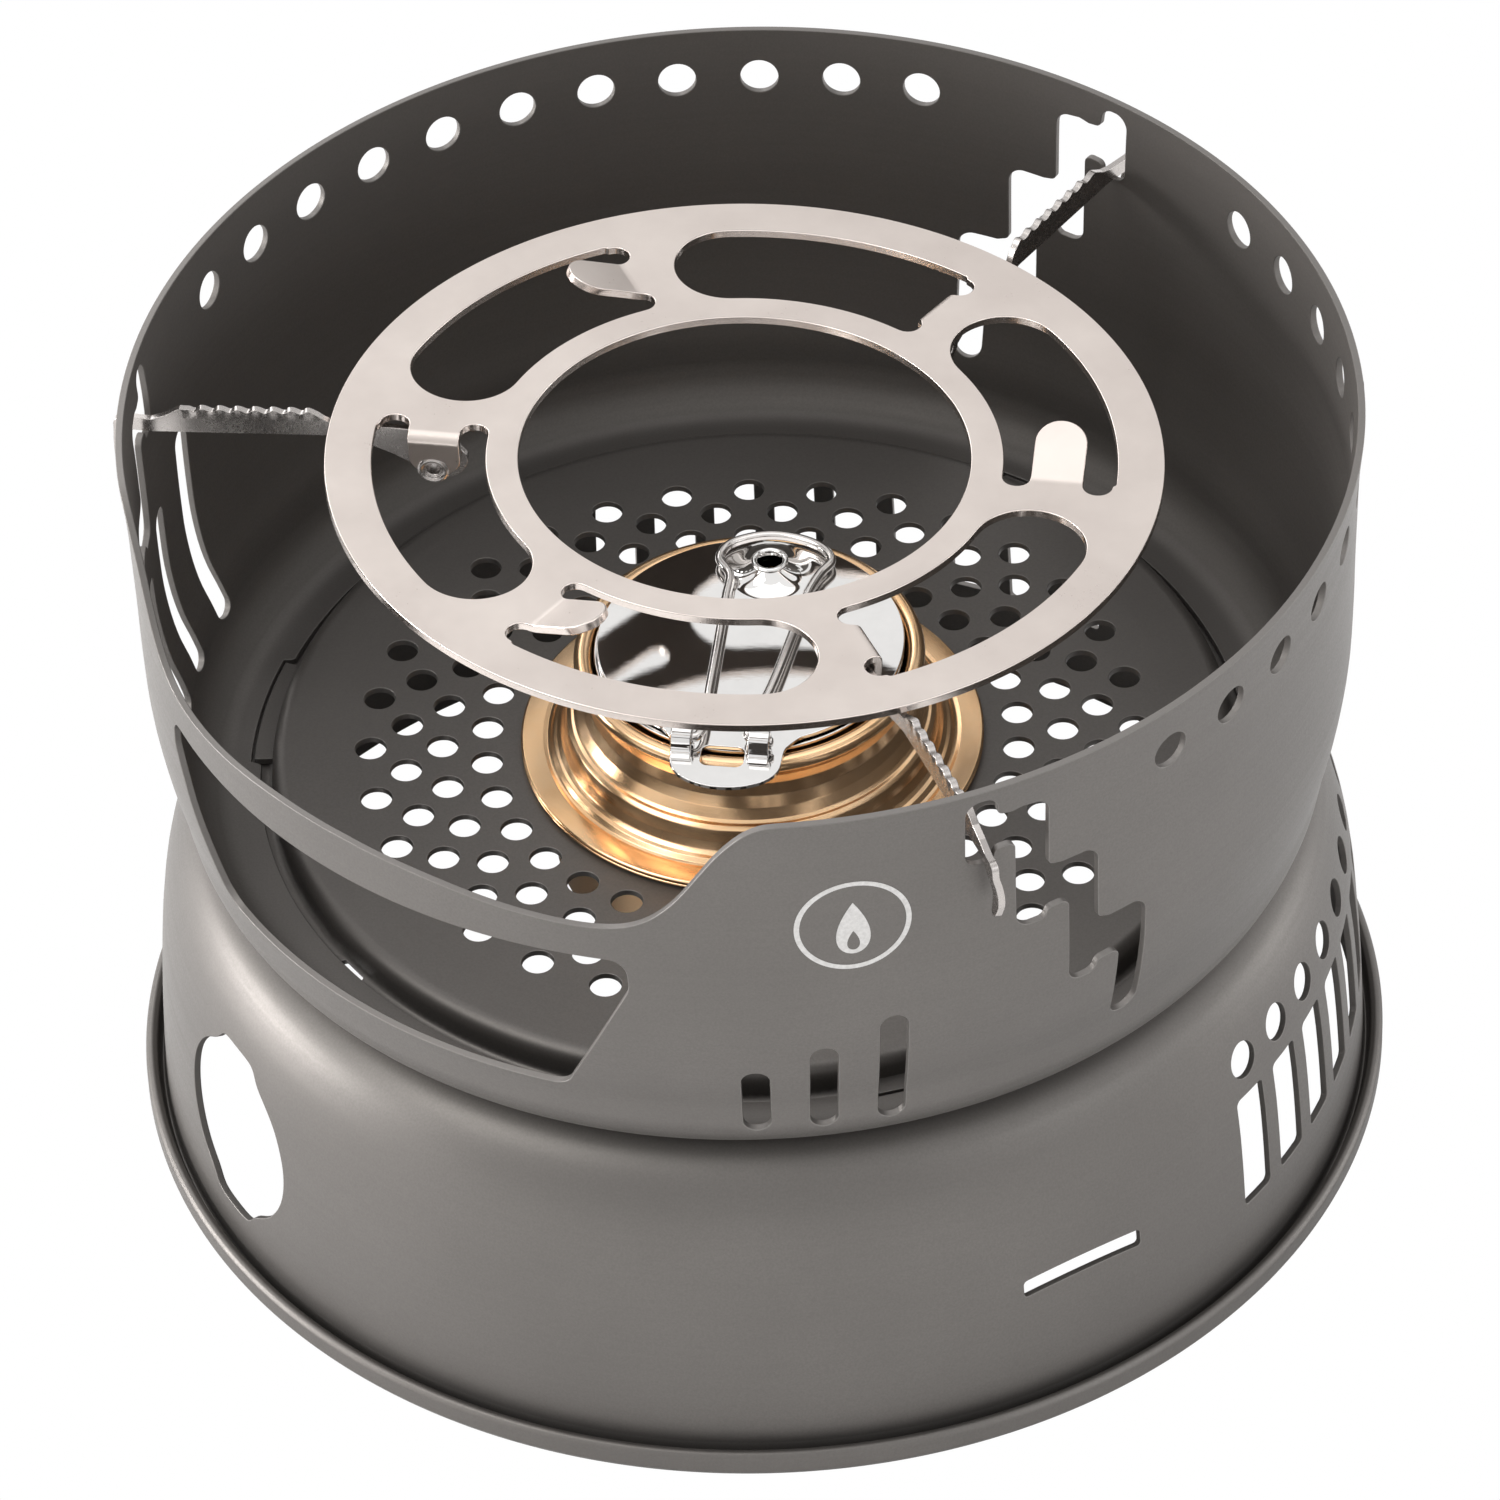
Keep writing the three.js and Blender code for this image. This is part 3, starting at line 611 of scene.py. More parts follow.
def wall_hole(profile, outline, angle, radius, start):
    """An outline (width, height) laid on a wall at an angle; radius turns width into angle."""
    length = profile.length_at(outline[:, 1], start)
    return np.stack([rad(angle) + outline[:, 0] / radius, length], 1)


# --------------------------------------------------------------------- solids
def triangulate(own, flat, outlines):
    """Triangles that keep to the outlines, and the own coordinates of each vertex."""
    sides, start = [], 0
    for outline in outlines:
        count = len(outline)
        sides += [(start + j, start + (j + 1) % count) for j in range(count)]
        start += count
    points = [Vector(p) for p in flat.tolist()]
    found, _, faces, origins, _, _ = delaunay_2d_cdt(points, sides, [], 0, 1e-7, True)
    found = np.array([tuple(v) for v in found])
    source = np.array([origin[0] if origin else -1 for origin in origins])
    # a new vertex, made where outlines cross, takes the coordinates of the nearest known one
    known = np.nonzero(source >= 0)[0]
    for i in np.nonzero(source < 0)[0]:
        source[i] = source[known[np.argmin(((found[known] - found[i]) ** 2).sum(1))]]
    triangles = np.array([list(face) for face in faces])
    return own[source], triangles[covered(outlines, found[triangles].mean(1))]


def sheet_edge(mesh, shape, loop, inset, thick, bevel):
    """The bevelled edge along one outline of a sheet."""
    top, top_normal = shape.front(inset)
    rim, normal = shape.front(loop)
    out = np.cross(unit(np.roll(rim, -1, 0) - np.roll(rim, 1, 0)), normal)
    if (out * (rim - top)).sum(1).mean() < 0:
        out = -out
    out = unit(out)
    points = [top, rim - normal * bevel, rim - normal * (thick - bevel), top - top_normal * thick]
    points = np.concatenate(points)
    normals = np.concatenate([top_normal, out, out, -top_normal])
    count = len(loop)
    faces, corners = [], []
    for ring in range(3):
        for j in range(count):
            j2 = (j + 1) % count
            a, b = ring * count, (ring + 1) * count
            face = [a + j, b + j, b + j2, a + j2]
            face, ends = facing(points, face, [normals[i] for i in face])
            faces.append(face)
            corners.append(ends)
    mesh.add(points, faces, corners, edge=1.0)


def sheet(mesh, shape, outline, holes, thick, bevel, grid=None, clear=0.5):
    """A sheet of even thickness behind the front of a shape, over an outline with holes.
    Outlines and grid are in the shape's own coordinates; grid points closer than clear to
    an outline are dropped."""
    loops = []
    for i, loop in enumerate([outline, *holes]):
        loop = tidy(loop)
        # in the plane the outline runs anticlockwise and the holes clockwise
        if area(shape.plane(loop)) * (1 if i == 0 else -1) < 0:
            loop = loop[::-1]
        loops.append(loop)
    insets = [offset(loop, shape.side * bevel, shape.stretch(loop)) for loop in loops]
    planes = [shape.plane(inset) for inset in insets]
    own, flat = np.concatenate(insets), np.concatenate(planes)
    if grid is not None:
        places = shape.plane(grid)
        keep = covered(planes, places)
        for plane in planes:
            keep &= ~near_outline(plane, places, clear)
        own = np.concatenate([own, grid[keep]])
        flat = np.concatenate([flat, places[keep]])
    own, tri = triangulate(own, flat, planes)
    points, normals = shape.front(own)
    # every triangle faces along the surface normal
    across = np.cross(points[tri[:, 1]] - points[tri[:, 0]], points[tri[:, 2]] - points[tri[:, 0]])
    flip = (across * normals[tri[:, 0]]).sum(1) < 0
    tri[flip] = tri[flip][:, ::-1]
    tri = tri[norm(across, axis=1) > 1e-9]
    mesh.add(points, tri.tolist(), normals[tri])
    back = tri[:, ::-1]
    mesh.add(points - normals * thick, back.tolist(), -normals[back])
    for loop, inset in zip(loops, insets):
        sheet_edge(mesh, shape, loop, inset, thick, bevel)


def lathe(mesh, profile, segs, x=0.0, y=0.0):
    """A body turned about a vertical axis from a closed (radius, height) profile.
    Normals break only at sharp corners."""
    sharp = math.cos(rad(32))
    count = len(profile)
    along_side = unit(np.roll(profile, -1, 0) - profile)
    turn = 1 if area(profile) > 0 else -1
    side_normal = np.stack([along_side[:, 1], -along_side[:, 0]], 1) * turn
    cos, sin = np.cos(full_turn(segs)), np.sin(full_turn(segs))
    points = np.zeros((count, segs, 3))
    points[:, :, 0] = profile[:, 0:1] * cos + x
    points[:, :, 1] = profile[:, 0:1] * sin + y
    points[:, :, 2] = profile[:, 1:2]

    def ring_normals(own, other):
        n = own + other if own @ other > sharp else own
        n = n / norm(n)
        return np.stack([n[0] * cos, n[0] * sin, np.full(segs, n[1])], 1).tolist()

    faces, normals = [], []
    for i in range(count):
        j = (i + 1) % count
        start_on_axis, end_on_axis = profile[i, 0] < 1e-6, profile[j, 0] < 1e-6
        if (start_on_axis and end_on_axis) or norm(profile[i] - profile[j]) < 1e-9:
            continue
        a = ring_normals(side_normal[i], side_normal[i - 1])
        b = ring_normals(side_normal[i], side_normal[j])
        low, high = i * segs, j * segs
        for k in range(segs):
            k2 = (k + 1) % segs
            if start_on_axis:
                face, ends = [low, high + k2, high + k], [a[k], b[k2], b[k]]
            elif end_on_axis:
                face, ends = [low + k, low + k2, high], [a[k], a[k2], b[k]]
            else:
                face = [low + k, low + k2, high + k2, high + k]
                ends = [a[k], a[k2], b[k2], b[k]]
            faces.append(face[::turn])
            normals.append(ends[::turn])
    mesh.add(points.reshape(-1, 3), faces, normals)


def wire_end(mesh, ring, centre, outward, radius):
    """A blunt end on a wire: a sloping band, then a low point."""
    sides = len(ring)
    band = centre + (ring - centre) * 0.72 + outward * radius * 0.25
    points = np.concatenate([ring, band, [centre + outward * radius * 0.35]])
    faces, normals = [], []
    for k in range(sides):
        k2 = (k + 1) % sides
        slope = points[k] + points[k2] - 2 * centre + outward * radius
        quad, triangle = [k, k2, sides + k2, sides + k], [sides + k, sides + k2, 2 * sides]
        for face, toward in ((quad, slope), (triangle, outward)):
            a, b, c = points[face[:3]]
            normal = np.cross(b - a, c - a)
            normal /= norm(normal)
            if normal @ toward < 0:
                face, normal = face[::-1], -normal
            faces.append(face)
            normals.append([normal] * len(face))
    mesh.add(points, faces, normals)


def sweep(mesh, path, radius, sides):
    """A round wire along a path of points, with closed ends."""
    tangent = unit(np.gradient(path, axis=0))
    across = np.cross(tangent[0], UP)
    across /= norm(across)
    angles = full_turn(sides)
    points, normals = [], []
    for place, way in zip(path, tangent):
        across = across - way * (across @ way)
        across /= norm(across)
        around = np.cos(angles)[:, None] * across + np.sin(angles)[:, None] * np.cross(way, across)
        points.append(place + around * radius)
        normals.append(around)
    faces = []
    for i in range(len(path) - 1):
        a, b = i * sides, (i + 1) * sides
        for k in range(sides):
            k2 = (k + 1) % sides
            faces.append([a + k, a + k2, b + k2, b + k])
    normals = np.concatenate(normals)
    mesh.add(np.concatenate(points), faces, [normals[face] for face in faces])
    wire_end(mesh, points[0], path[0], -tangent[0], radius)
    wire_end(mesh, points[-1], path[-1], tangent[-1], radius)


# ----------------------------------------------------------- base windshield
PLATE_R = 34.3  # inner edge of the top plate

# outer face (radius, height): flat plate, rounded edge, ledge, shoulder, wall down to the foot
BASE = Profile([
    (PLATE_R, 66.3), (55.0, 66.3), (70.0, 66.3), (76.6, 66.3),
    *arc(77.0, 63.8, 2.5, 84, 6, 9),
    (79.5, 63.0), (79.52, 61.6),
    *arc(80.5, 61.4, 1.0, 186, 264, 6),
    (81.5, 60.38), (82.6, 60.3), (84.2, 60.1), (86.3, 59.6), (88.5, 58.8), (90.6, 57.7),
    (92.6, 56.1), (94.2, 54.1), (95.5, 51.8), (96.6, 49.3), (97.55, 46.3), (98.3, 43.3),
    (98.9, 40.3), (99.3, 37.3), (99.7, 34.3), (100.0, 31.3), (100.5, 25.3), (101.0, 17.3),
    (101.35, 9.3), (101.5, 4.2),
])
BASE_STEP = BASE.nearest(79.5, 63.0)  # lengths at the plate's edge, the wall and the ledge
BASE_WALL = BASE.nearest(88.5, 58.8)
BASE_LEDGE = BASE.nearest(80.9, 60.4)

VENTS, VENT_FIRST, VENT_PITCH = 24, 322.2, 6.13
PLATE_HOLE_R = 2.6
PLATE_ROWS = ((44.0, 4.7), (51.2, 10.3), (57.4, 4.7), (63.1, 10.3))  # radius, first angle
LEDGE_OPENINGS = (94.7, 214.7, 334.7)

# curled foot (radius, height, corner radius), with a groove between lip and wall
FOOT = [
    (100.35, 0.0, 0.3), (104.1, 0.0, 0.9), (104.85, 1.2, 0.8), (104.85, 4.1, 0.9),
    (104.0, 5.1, 0.75), (102.85, 4.4, 0.6), (102.65, 2.4, 0.6), (102.1, 1.5, 0.4),
    (101.55, 2.0, 0.3), (101.5, 4.6, 0.1), (100.35, 4.6, 0.1),
]


def base_hole(outline, angle, radius):
    return wall_hole(BASE, outline, angle, radius, BASE_WALL)


def vent_holes():
    """Upright slots round the wall, each with a round hole above it."""
    holes = []
    for k in range(VENTS):
        angle = VENT_FIRST + VENT_PITCH * k
        slot = dense(box(half_width=3.6, low=17.4, high=39.5, radius=0.9, step=0.3), 3.0)
        holes.append(base_hole(slot, angle, radius=100.0))
        holes.append(base_hole(circle(0, 45.8, 3.1, 36), angle, radius=97.7))
    return holes


def hose_opening():
    """A circle joined with an upright slot that passes through its middle."""
    middle, radius = 28, 15.7
    half, top = 6.25, 45
    neck = math.asin(half / radius)
    join = middle + radius * math.cos(neck) + 0.6
    corners = [(-half, 40, 0), (-half, top, 3.4), (half, top, 3.4), (half, 40, 0)]
    cap = np.array([p for p in rounded(corners, 0.3) if p[1] > join])
    angles = np.linspace(PI / 2 - neck, -PI / 2 + neck, 44)
    right = np.stack([radius * np.cos(angles), middle + radius * np.sin(angles)], 1)
    foot = np.stack([cap[::-1, 0], 2 * middle - cap[::-1, 1]], 1)
    outline = np.concatenate([cap, right, foot, right[::-1] * (-1, 1)])
    # soften the necks where the circle meets the slot
    return base_hole(soften(dense(outline, 0.7), 26), 208.8, radius=100.0)


def lanced_slit():
    """A wide low slit, bowed upwards in its middle."""
    half = 11.1
    outline = dense(box(half_width=half, low=26.1, high=29.3, radius=0.7, step=0.25), 1.0)
    outline[:, 1] += 0.9 * (1 - (outline[:, 0] / half) ** 2) - 0.25
    return base_hole(outline, 299.85, radius=100.4)


def plate_holes():
    """Four rings of 32 round holes in the top plate."""
    holes = []
    for radius, first in PLATE_ROWS:
        for k in range(32):
            a = rad(first + 11.25 * k)
            x, y = circle(radius * math.cos(a), radius * math.sin(a), PLATE_HOLE_R, 32).T
            holes.append(np.stack([np.arctan2(y, x), np.hypot(x, y) - PLATE_R], 1))
    return holes


def ledge_openings():
    low, high = BASE_LEDGE - 0.8, BASE_LEDGE + 1.0
    outline = dense(box(half_width=2.8, low=low, high=high, radius=0.5, step=0.2), 0.8)
    return [
        np.stack([rad(angle) + outline[:, 0] / 81.0, outline[:, 1]], 1) for angle in LEDGE_OPENINGS
    ]


def base_ear(mesh, direction):
    """A flat ear of the plate's edge, lying in a notch of the upper shell's flange."""
    spread = np.linspace(-rad(8.5), rad(8.5), 26)
    outer = row(rad(direction) + spread, 82.75)
    inner = row(rad(direction) + spread[::-1], 79.3)
    angle, radius = np.concatenate([outer, inner]).T
    outline = np.stack([radius * np.cos(angle), radius * np.sin(angle)], 1)
    sheet(mesh, level(61.95), outline, [], thick=SHEET, bevel=0.14)


def build_base():
    mesh = Mesh()
    holes = [*vent_holes(), hose_opening(), lanced_slit(), *plate_holes(), *ledge_openings()]
    # grid rows: close at the plate's edge, wider on the shoulder, widest on the wall
    lengths = [
        *np.arange(BASE_STEP - 5.0, BASE_STEP + 6.5, 0.55),
        *np.arange(BASE_STEP + 7.2, BASE_WALL + 14.0, 1.1),
        *np.arange(BASE_WALL + 15.5, BASE.end - 0.5, 2.6),
    ]
    plate_rows = grid_rows((2.2, 38.0), stagger=0.0)
    grid = np.concatenate([grid_rows(lengths), plate_rows])
    angles = full_turn(720)
    outer, inner = row(angles, BASE.end), row(angles, 0.0)
    shape = Turned(BASE.at, shift=PLATE_R)
    sheet(mesh, shape, outer, [inner, *holes], thick=SHEET, bevel=0.16, grid=grid, clear=0.35)
    lathe(mesh, rounded(FOOT, 0.12), segs=360)
    for direction in EARS:
        base_ear(mesh, direction)
    mesh.object("base_windshield_sheet", "shell", "base", "base_windshield")


# ---------------------------------------------------------- upper windshield
FLANGE_R = 81.5  # inner edge of the flange
WALL_R = 98.6  # turns angles of the stairs, window and mark into widths

# inner face (radius, height): flange, bend, wall; the outside is one thickness further out
UPPER = Profile([
    (FLANGE_R, 61.9), (83.5, 61.9), (85.1, 61.9),
    *arc(85.1, 70.1, 8.2, -84, -14, 10),
    (93.13, 68.3), (94.1, 74.5), (95.26, 79.3), (96.3, 85.3), (97.0, 91.3), (97.25, 97.3),
    (97.38, 103.3), (97.43, 109.3), (97.6, 117.3), (97.85, 127.3), (98.15, 132.3),
    (98.6, RIM_Z),
])
UPPER_WALL = UPPER.nearest(93.0, 67.6)

# stepped opening, and window, as (angle, height, corner radius)
STAIR = [
    (47.8, 135.1, 2.6), (50.75, 135.1, 2.6), (50.9, 131.2, 1.2), (52.3, 130.9, 0.6),
    (53.4, 131.3, 1.6), (55.95, 130.7, 2.6), (56.0, 116.6, 1.2), (57.4, 116.1, 0.8),
    (61.25, 116.1, 2.86), (61.3, 100.8, 1.2), (62.6, 99.9, 0.8), (66.8, 99.8, 2.99),
    (66.9, 75.0, 3.38), (63.85, 75.0, 3.38), (63.85, 91.6, 1.6), (61.3, 91.5, 1.3),
    (61.05, 89.3, 2.99), (58.3, 89.3, 2.99), (58.2, 107.6, 1.6), (55.9, 107.4, 1.3),
    (55.65, 105.6, 2.86), (52.8, 105.6, 2.86), (52.65, 124.2, 1.4), (50.6, 124.0, 1.2),
    (50.45, 121.8, 2.6), (47.8, 121.8, 2.6),
]
STAIR_TURNS = (0, 120, 240.95)
WINDOW = [
    (201.2, 107.3, 4.5), (257.7, 107.3, 3.2), (257.9, 101.3, 4.5),
    (250.9, 76.3, 4.0), (208.0, 76.3, 5.0), (200.9, 101.3, 4.5),
]
# slots beside the window: angle, bottom, top
STRAIGHT_SLOTS = ((269.0, 68.4, 83.3), (275.4, 68.4, 88.3), (281.9, 68.4, 93.5))
BENT_SLOTS = ((160.9, 68.6, 110.6), (169.2, 68.6, 104.8), (176.0, 68.6, 99.4))
# the rim's cut-down over the window: angle off its middle, height
CUT_MIDDLE = 229.4
CUT_DOWN = [
    (45.0, RIM_Z), (42.4, RIM_Z), (40.9, 137.0), (39.6, 135.9), (38.3, 133.9), (36.9, 131.0),
    (35.2, 126.6), (33.6, 122.4), (32.1, 119.2), (30.4, 116.6), (28.6, 115.0), (26.6, 114.2),
    (24.0, 113.9), (18.0, 114.3), (9.0, 115.6), (0.0, 116.1),
]


def angular(corners, step):
    """A rounded outline (width, height) from corners given by their angle."""
    return rounded([(rad(angle) * WALL_R, z, radius) for angle, z, radius in corners], step)


def upper_holes():
    holes = []
    for first in (70.5, 310.5):
        for k in range(11):
            outline = circle(0, 128.0, 3.2, 40)
            holes.append(wall_hole(UPPER, outline, first + 8.12 * k, 97.9, UPPER_WALL))
    stair = dense(angular(STAIR, 0.3), 2.0)
    for turn in STAIR_TURNS:
        holes.append(wall_hole(UPPER, stair, turn, WALL_R, UPPER_WALL))
    for slot in STRAIGHT_SLOTS + BENT_SLOTS:
        angle, low, high = slot
        outline = dense(box(half_width=2.25, low=low, high=high, radius=2.24, step=0.3), 2.0)
        if slot in BENT_SLOTS:
            # a little wider, with the foot drawn aside
            outline[:, 0] *= 1.12
            outline[:, 0] -= 3.0 * np.clip((87.0 - outline[:, 1]) / 18.0, 0, 1.2) ** 2
        holes.append(wall_hole(UPPER, outline, angle, 97.0, UPPER_WALL - 2))
    window = dense(angular(WINDOW, 0.4), 1.5)
    holes.append(wall_hole(UPPER, window, 0, WALL_R, UPPER_WALL))
    return holes


def angle_between(angles, direction):
    return np.abs((angles - direction + 180) % 360 - 180)


def build_upper():
    mesh = Mesh()
    holes = upper_holes()
    angles = np.linspace(0, 360, 1080, endpoint=False)
    # rim, with its cut-down
    off, height = spline(CUT_DOWN, 8)[::-1].T
    away = angle_between(angles, CUT_MIDDLE)
    z = np.where(away > 45, RIM_Z, np.interp(away, off, height))
    outer = np.stack([np.radians(angles), UPPER.length_at(z, UPPER_WALL)], 1)
    outer[z >= RIM_Z - 0.001, 1] = UPPER.end
    # flange edge, with a notch round each ear
    notch = np.zeros(len(angles))
    for ear in EARS:
        depth = np.clip((9.25 - angle_between(angles, ear)) / 0.35, 0, 1) * 1.75
        notch = np.maximum(notch, depth)
    inner = np.stack([np.radians(angles), notch], 1)
    lengths = [
        2.6,
        *np.arange(3.4, UPPER_WALL + 1.0, 1.0),
        *np.arange(UPPER_WALL + 2.5, UPPER.end - 0.8, 2.8),
    ]
    grid = grid_rows(lengths)
    shape = Turned(UPPER.at, shift=FLANGE_R)
    sheet(mesh, shape, outer, [inner, *holes], thick=SHEET, bevel=0.16, grid=grid, clear=0.4)
    name = "upper_windshield_sheet"
    mesh.object(name, "shell", "windshield", "upper_windshield")


MARK_ANGLE, MARK_Z = 278.3, 114.6
INK = 0.04


def mark_front(spots):
    """The outside of the upper wall, raised by the ink."""
    r, z, nr, nz = UPPER.at(UPPER.length_at(spots[:, 1], UPPER_WALL))
    angle = rad(MARK_ANGLE) + spots[:, 0] / WALL_R
    back = SHEET + 0.045
    return spun(r - nr * back, angle, z - nz * back), spun(-nr, angle, -nz)


def build_mark():
    """A hollow drop in a circle, printed on the wall."""

    def drop(half_width, height, z):
        t = full_turn(90)
        outline = [half_width * np.sin(t) * np.sin(t / 2), z + height * np.cos(t)]
        return tidy(np.stack(outline, 1), 0.01)

    mesh = Mesh()
    shape = Flat(mark_front)
    ring, ring_hole = dense(circle(0, MARK_Z, 9.2, 120), 0.5), circle(0, MARK_Z, 8.35, 120)
    sheet(mesh, shape, ring, [ring_hole], thick=INK, bevel=0.01)
    solid, hollow = drop(3.5, 5.4, MARK_Z - 0.6), drop(1.3, 2.0, MARK_Z - 3.2)
    heights = np.arange(MARK_Z - 7, MARK_Z + 6, 0.8)
    grid = np.array([(x, z) for x in np.arange(-4, 4.1, 0.8) for z in heights])
    sheet(mesh, shape, solid, [hollow], thick=INK, bevel=0.01, grid=grid, clear=0.15)
    mesh.object("shell_mark", "print", "windshield")


# ------------------------------------------------------------------ pot ring
RING_TOP, RING_T = 127.3, 1.5
RING_OUT, RING_IN = 67.45, 36.3  # edges of the ring
OPEN_OUT, OPEN_IN = 59.8, 41.6  # edges of its six openings
# how the ring stands: a little low at the back right
TILT_X, TILT_Y, RING_X, RING_Y = -0.0330, -0.0317, 0.51, -0.06

# direction of each tongue and how far its bend line lies to the left of that direction
BEND = {51.2: -1.95, 111.2: -1.2, 171.2: 0.1, 231.2: -1.0, 291.2: -0.95, 351.2: -1.0}
# lugs are the tongues bent down, by 90 degrees and this lean; fingers are bent up a little
LUG_LEAN = {51.2: 3.0, 171.2: 14.0, 291.2: 3.0}
FINGERS = [direction for direction in BEND if direction not in LUG_LEAN]
LUG_BEND_R, FINGER_BEND_R, FINGER_ANGLE = 1.65, 3.0, 23
TONGUE_IN, TONGUE_OUT = 46.1, 54.6  # its two sides, as distances from the axis
PIVOT_OUT, PIVOT_H = 50.6, -7.9  # an arm's rivet: distance out, height over the ring's top


def settle(points):
    """Points of the level ring moved to where the ring stands."""
    x, y, z = points.T
    h = z - RING_TOP
    moved = [x + RING_X - TILT_X * h, y + RING_Y - TILT_Y * h, z + TILT_X * x + TILT_Y * y]
    return np.stack(moved, 1)


def settle_normals(normals):
    x, y, z = normals.T
    return unit(np.stack([x - TILT_X * z, y - TILT_Y * z, z + TILT_X * x + TILT_Y * y], 1))


def opening(direction):
    """Outline of one opening of the flat ring, with the tongue that stands in it."""
    lug = direction in LUG_LEAN
    middle, half = (OPEN_OUT + OPEN_IN) / 2, (OPEN_OUT - OPEN_IN) / 2
    end = direction + 40.1
    outer_low, inner_low = (-3.3, -2.3) if lug else (-3.0, -2.2)
    first = direction + math.degrees((outer_low + 2.6) / 57.2)
    last = direction + math.degrees((inner_low + 2.6) / 43.4)
    end_x, end_y = along(end, [(middle, 0)])[0]
    tongue_half = (TONGUE_OUT - TONGUE_IN) / 2
    tongue_mid = (TONGUE_IN + TONGUE_OUT) / 2
    tip = BEND[direction] + (10.9 if lug else 11.9)
    # inner relief notch, tongue, outer relief notch
    tongue_side = [
        arc(43.85, inner_low + 2.25, 2.25, 170, 360, 14),
        [(TONGUE_IN, inner_low + 3.6)],
        arc(tongue_mid, tip - tongue_half, tongue_half, 180, 0, 22),
        [(TONGUE_OUT, outer_low + 3.6)],
        arc(56.95, outer_low + 2.35, 2.35, 180, 375, 14),
    ]
    outline = [
        arc(0, 0, OPEN_OUT, first, end, 60),
        arc(end_x, end_y, half, end, end + 180, 26)[1:-1],
        arc(0, 0, OPEN_IN, end, last, 50),
        along(direction, np.concatenate(tongue_side)),
    ]
    return tidy(np.concatenate(outline), 0.02)


def tongue(direction, t):
    """A tongue's front face, t along the flat pattern from its bend: the distance to the left
    of its direction, the height over the ring, and the same two parts of its normal."""
    if direction in LUG_LEAN:
        radius, angle, up = LUG_BEND_R, PI / 2 + rad(LUG_LEAN[direction]), -1
    else:
        radius, angle, up = FINGER_BEND_R, rad(FINGER_ANGLE), 1
    a = np.minimum(t / radius, angle)
    rest = np.maximum(t - radius * angle, 0)
    left = BEND[direction] + radius * np.sin(a) + rest * math.cos(angle)
    height = up * (radius * (1 - np.cos(a)) + rest * math.sin(angle))
    return left, height, -up * np.sin(a), np.cos(a)


def lug_pivot(direction):
    """Where a lug reaches the rivet's height: t along its flat pattern, and distance left."""
    t = np.linspace(0, 12, 400)
    left, height, _, _ = tongue(direction, t)
    k = int(np.argmin(np.abs(height - PIVOT_H)))
    return float(t[k]), float(left[k])


def ring_front(spots):
    x, y = spots.T
    points = np.stack([x, y, np.full(len(x), RING_TOP)], 1)
    normals = np.tile(UP, (len(x), 1))
    for direction, bend in BEND.items():
        c, s = math.cos(rad(direction)), math.sin(rad(direction))
        out = x * c + y * s
        left = -x * s + y * c
        k = (out > 45.7) & (out < 55.0) & (left > bend) & (left < 14)
        side, height, normal_left, normal_up = tongue(direction, left[k] - bend)
        place = along(direction, np.stack([out[k], side], 1))
        points[k] = np.column_stack([place, height + RING_TOP])
        normals[k] = np.stack([-normal_left * s, normal_left * c, normal_up], 1)
    return settle(points), settle_normals(normals)


def build_ring():
    mesh = Mesh()
    holes = [circle(0, 0, RING_IN, 360)]
    holes += [soften(dense(opening(direction), 0.8), 1) for direction in BEND]
    for direction in LUG_LEAN:
        across = BEND[direction] + lug_pivot(direction)[0]
        holes.append(along(direction, circle(PIVOT_OUT, across, 2.0, 28)))
    # rows of points where the tongues bend, and two circles on the flat
    rows = (0.001, 0.3, 0.6, 0.9, 1.2, 1.5, 1.8, 2.1, 2.4, 2.7, 3.2, 4.2, 6.0, 8.0, 9.5)
    columns = np.linspace(46.7, 54.0, 9)
    grid = []
    for direction in [*LUG_LEAN, *FINGERS]:
        bend = BEND[direction]
        grid.append(along(direction, [(out, bend + t) for t in rows for out in columns]))
    grid += [circle(0, 0, radius, 180) for radius in (38.6, 63.6)]
    grid = np.concatenate(grid)
    outer = circle(0, 0, RING_OUT, 540)
    sheet(mesh, Flat(ring_front), outer, holes, thick=RING_T, bevel=0.22, grid=grid, clear=0.25)
    mesh.object("pot_ring_sheet", "steel", "pot_support", "pot_ring")


# ---------------------------------------------------------------------- arms
# direction of each arm, and its middle plane's distance left of that, at pivot and hook
ARM_LEFT = {171.2: (-2.9, -3.2), 291.2: (-1.5, -0.6), 51.2: (-2.6, -3.2)}
EYE_OUT, PIVOT_Z = 49.3, 118.5  # centre of the round inner end
TOOTH, TEETH_START, TEETH_END = 2.93, 67.9, 91.5

# outline as (distance out, height, corner radius)
ARM_UNDER = [(57.5, 119.2), (62.5, 121.5), (68, 122.3), (94.6, 122.3), (100.2, 122.15)]
ARM_HOOK = [
    (100.9, 121.4, 0.4), (101.0, 115.5, 1.0), (101.15, 113.6, 0.8), (101.9, 112.9, 0.8),
    (102.7, 113.4, 0.8), (103.35, 115.8, 1.5), (103.5, 120.2, 1.5), (103.4, 124.75, 1.7),
    (97, 124.85, 1.0), (94.6, 125.7, 1.0), (92.2, 127.2, 0.8),
]
ARM_INNER_TOP = [
    (70.62, 127.2, 0), (70.1, 126.8, 0), (67.3, 125.0, 1.0), (60, 124.95, 0),
    (47.6, 124.95, 1.2), (45.95, 123.3, 1.2),
]
ARM_GRID_Z = (113.0, 114.2, 115.4, 116.6, 117.8, 119.0, 120.2, 121.4, 122.7, 123.9, 125.1, 125.9, 126.5)

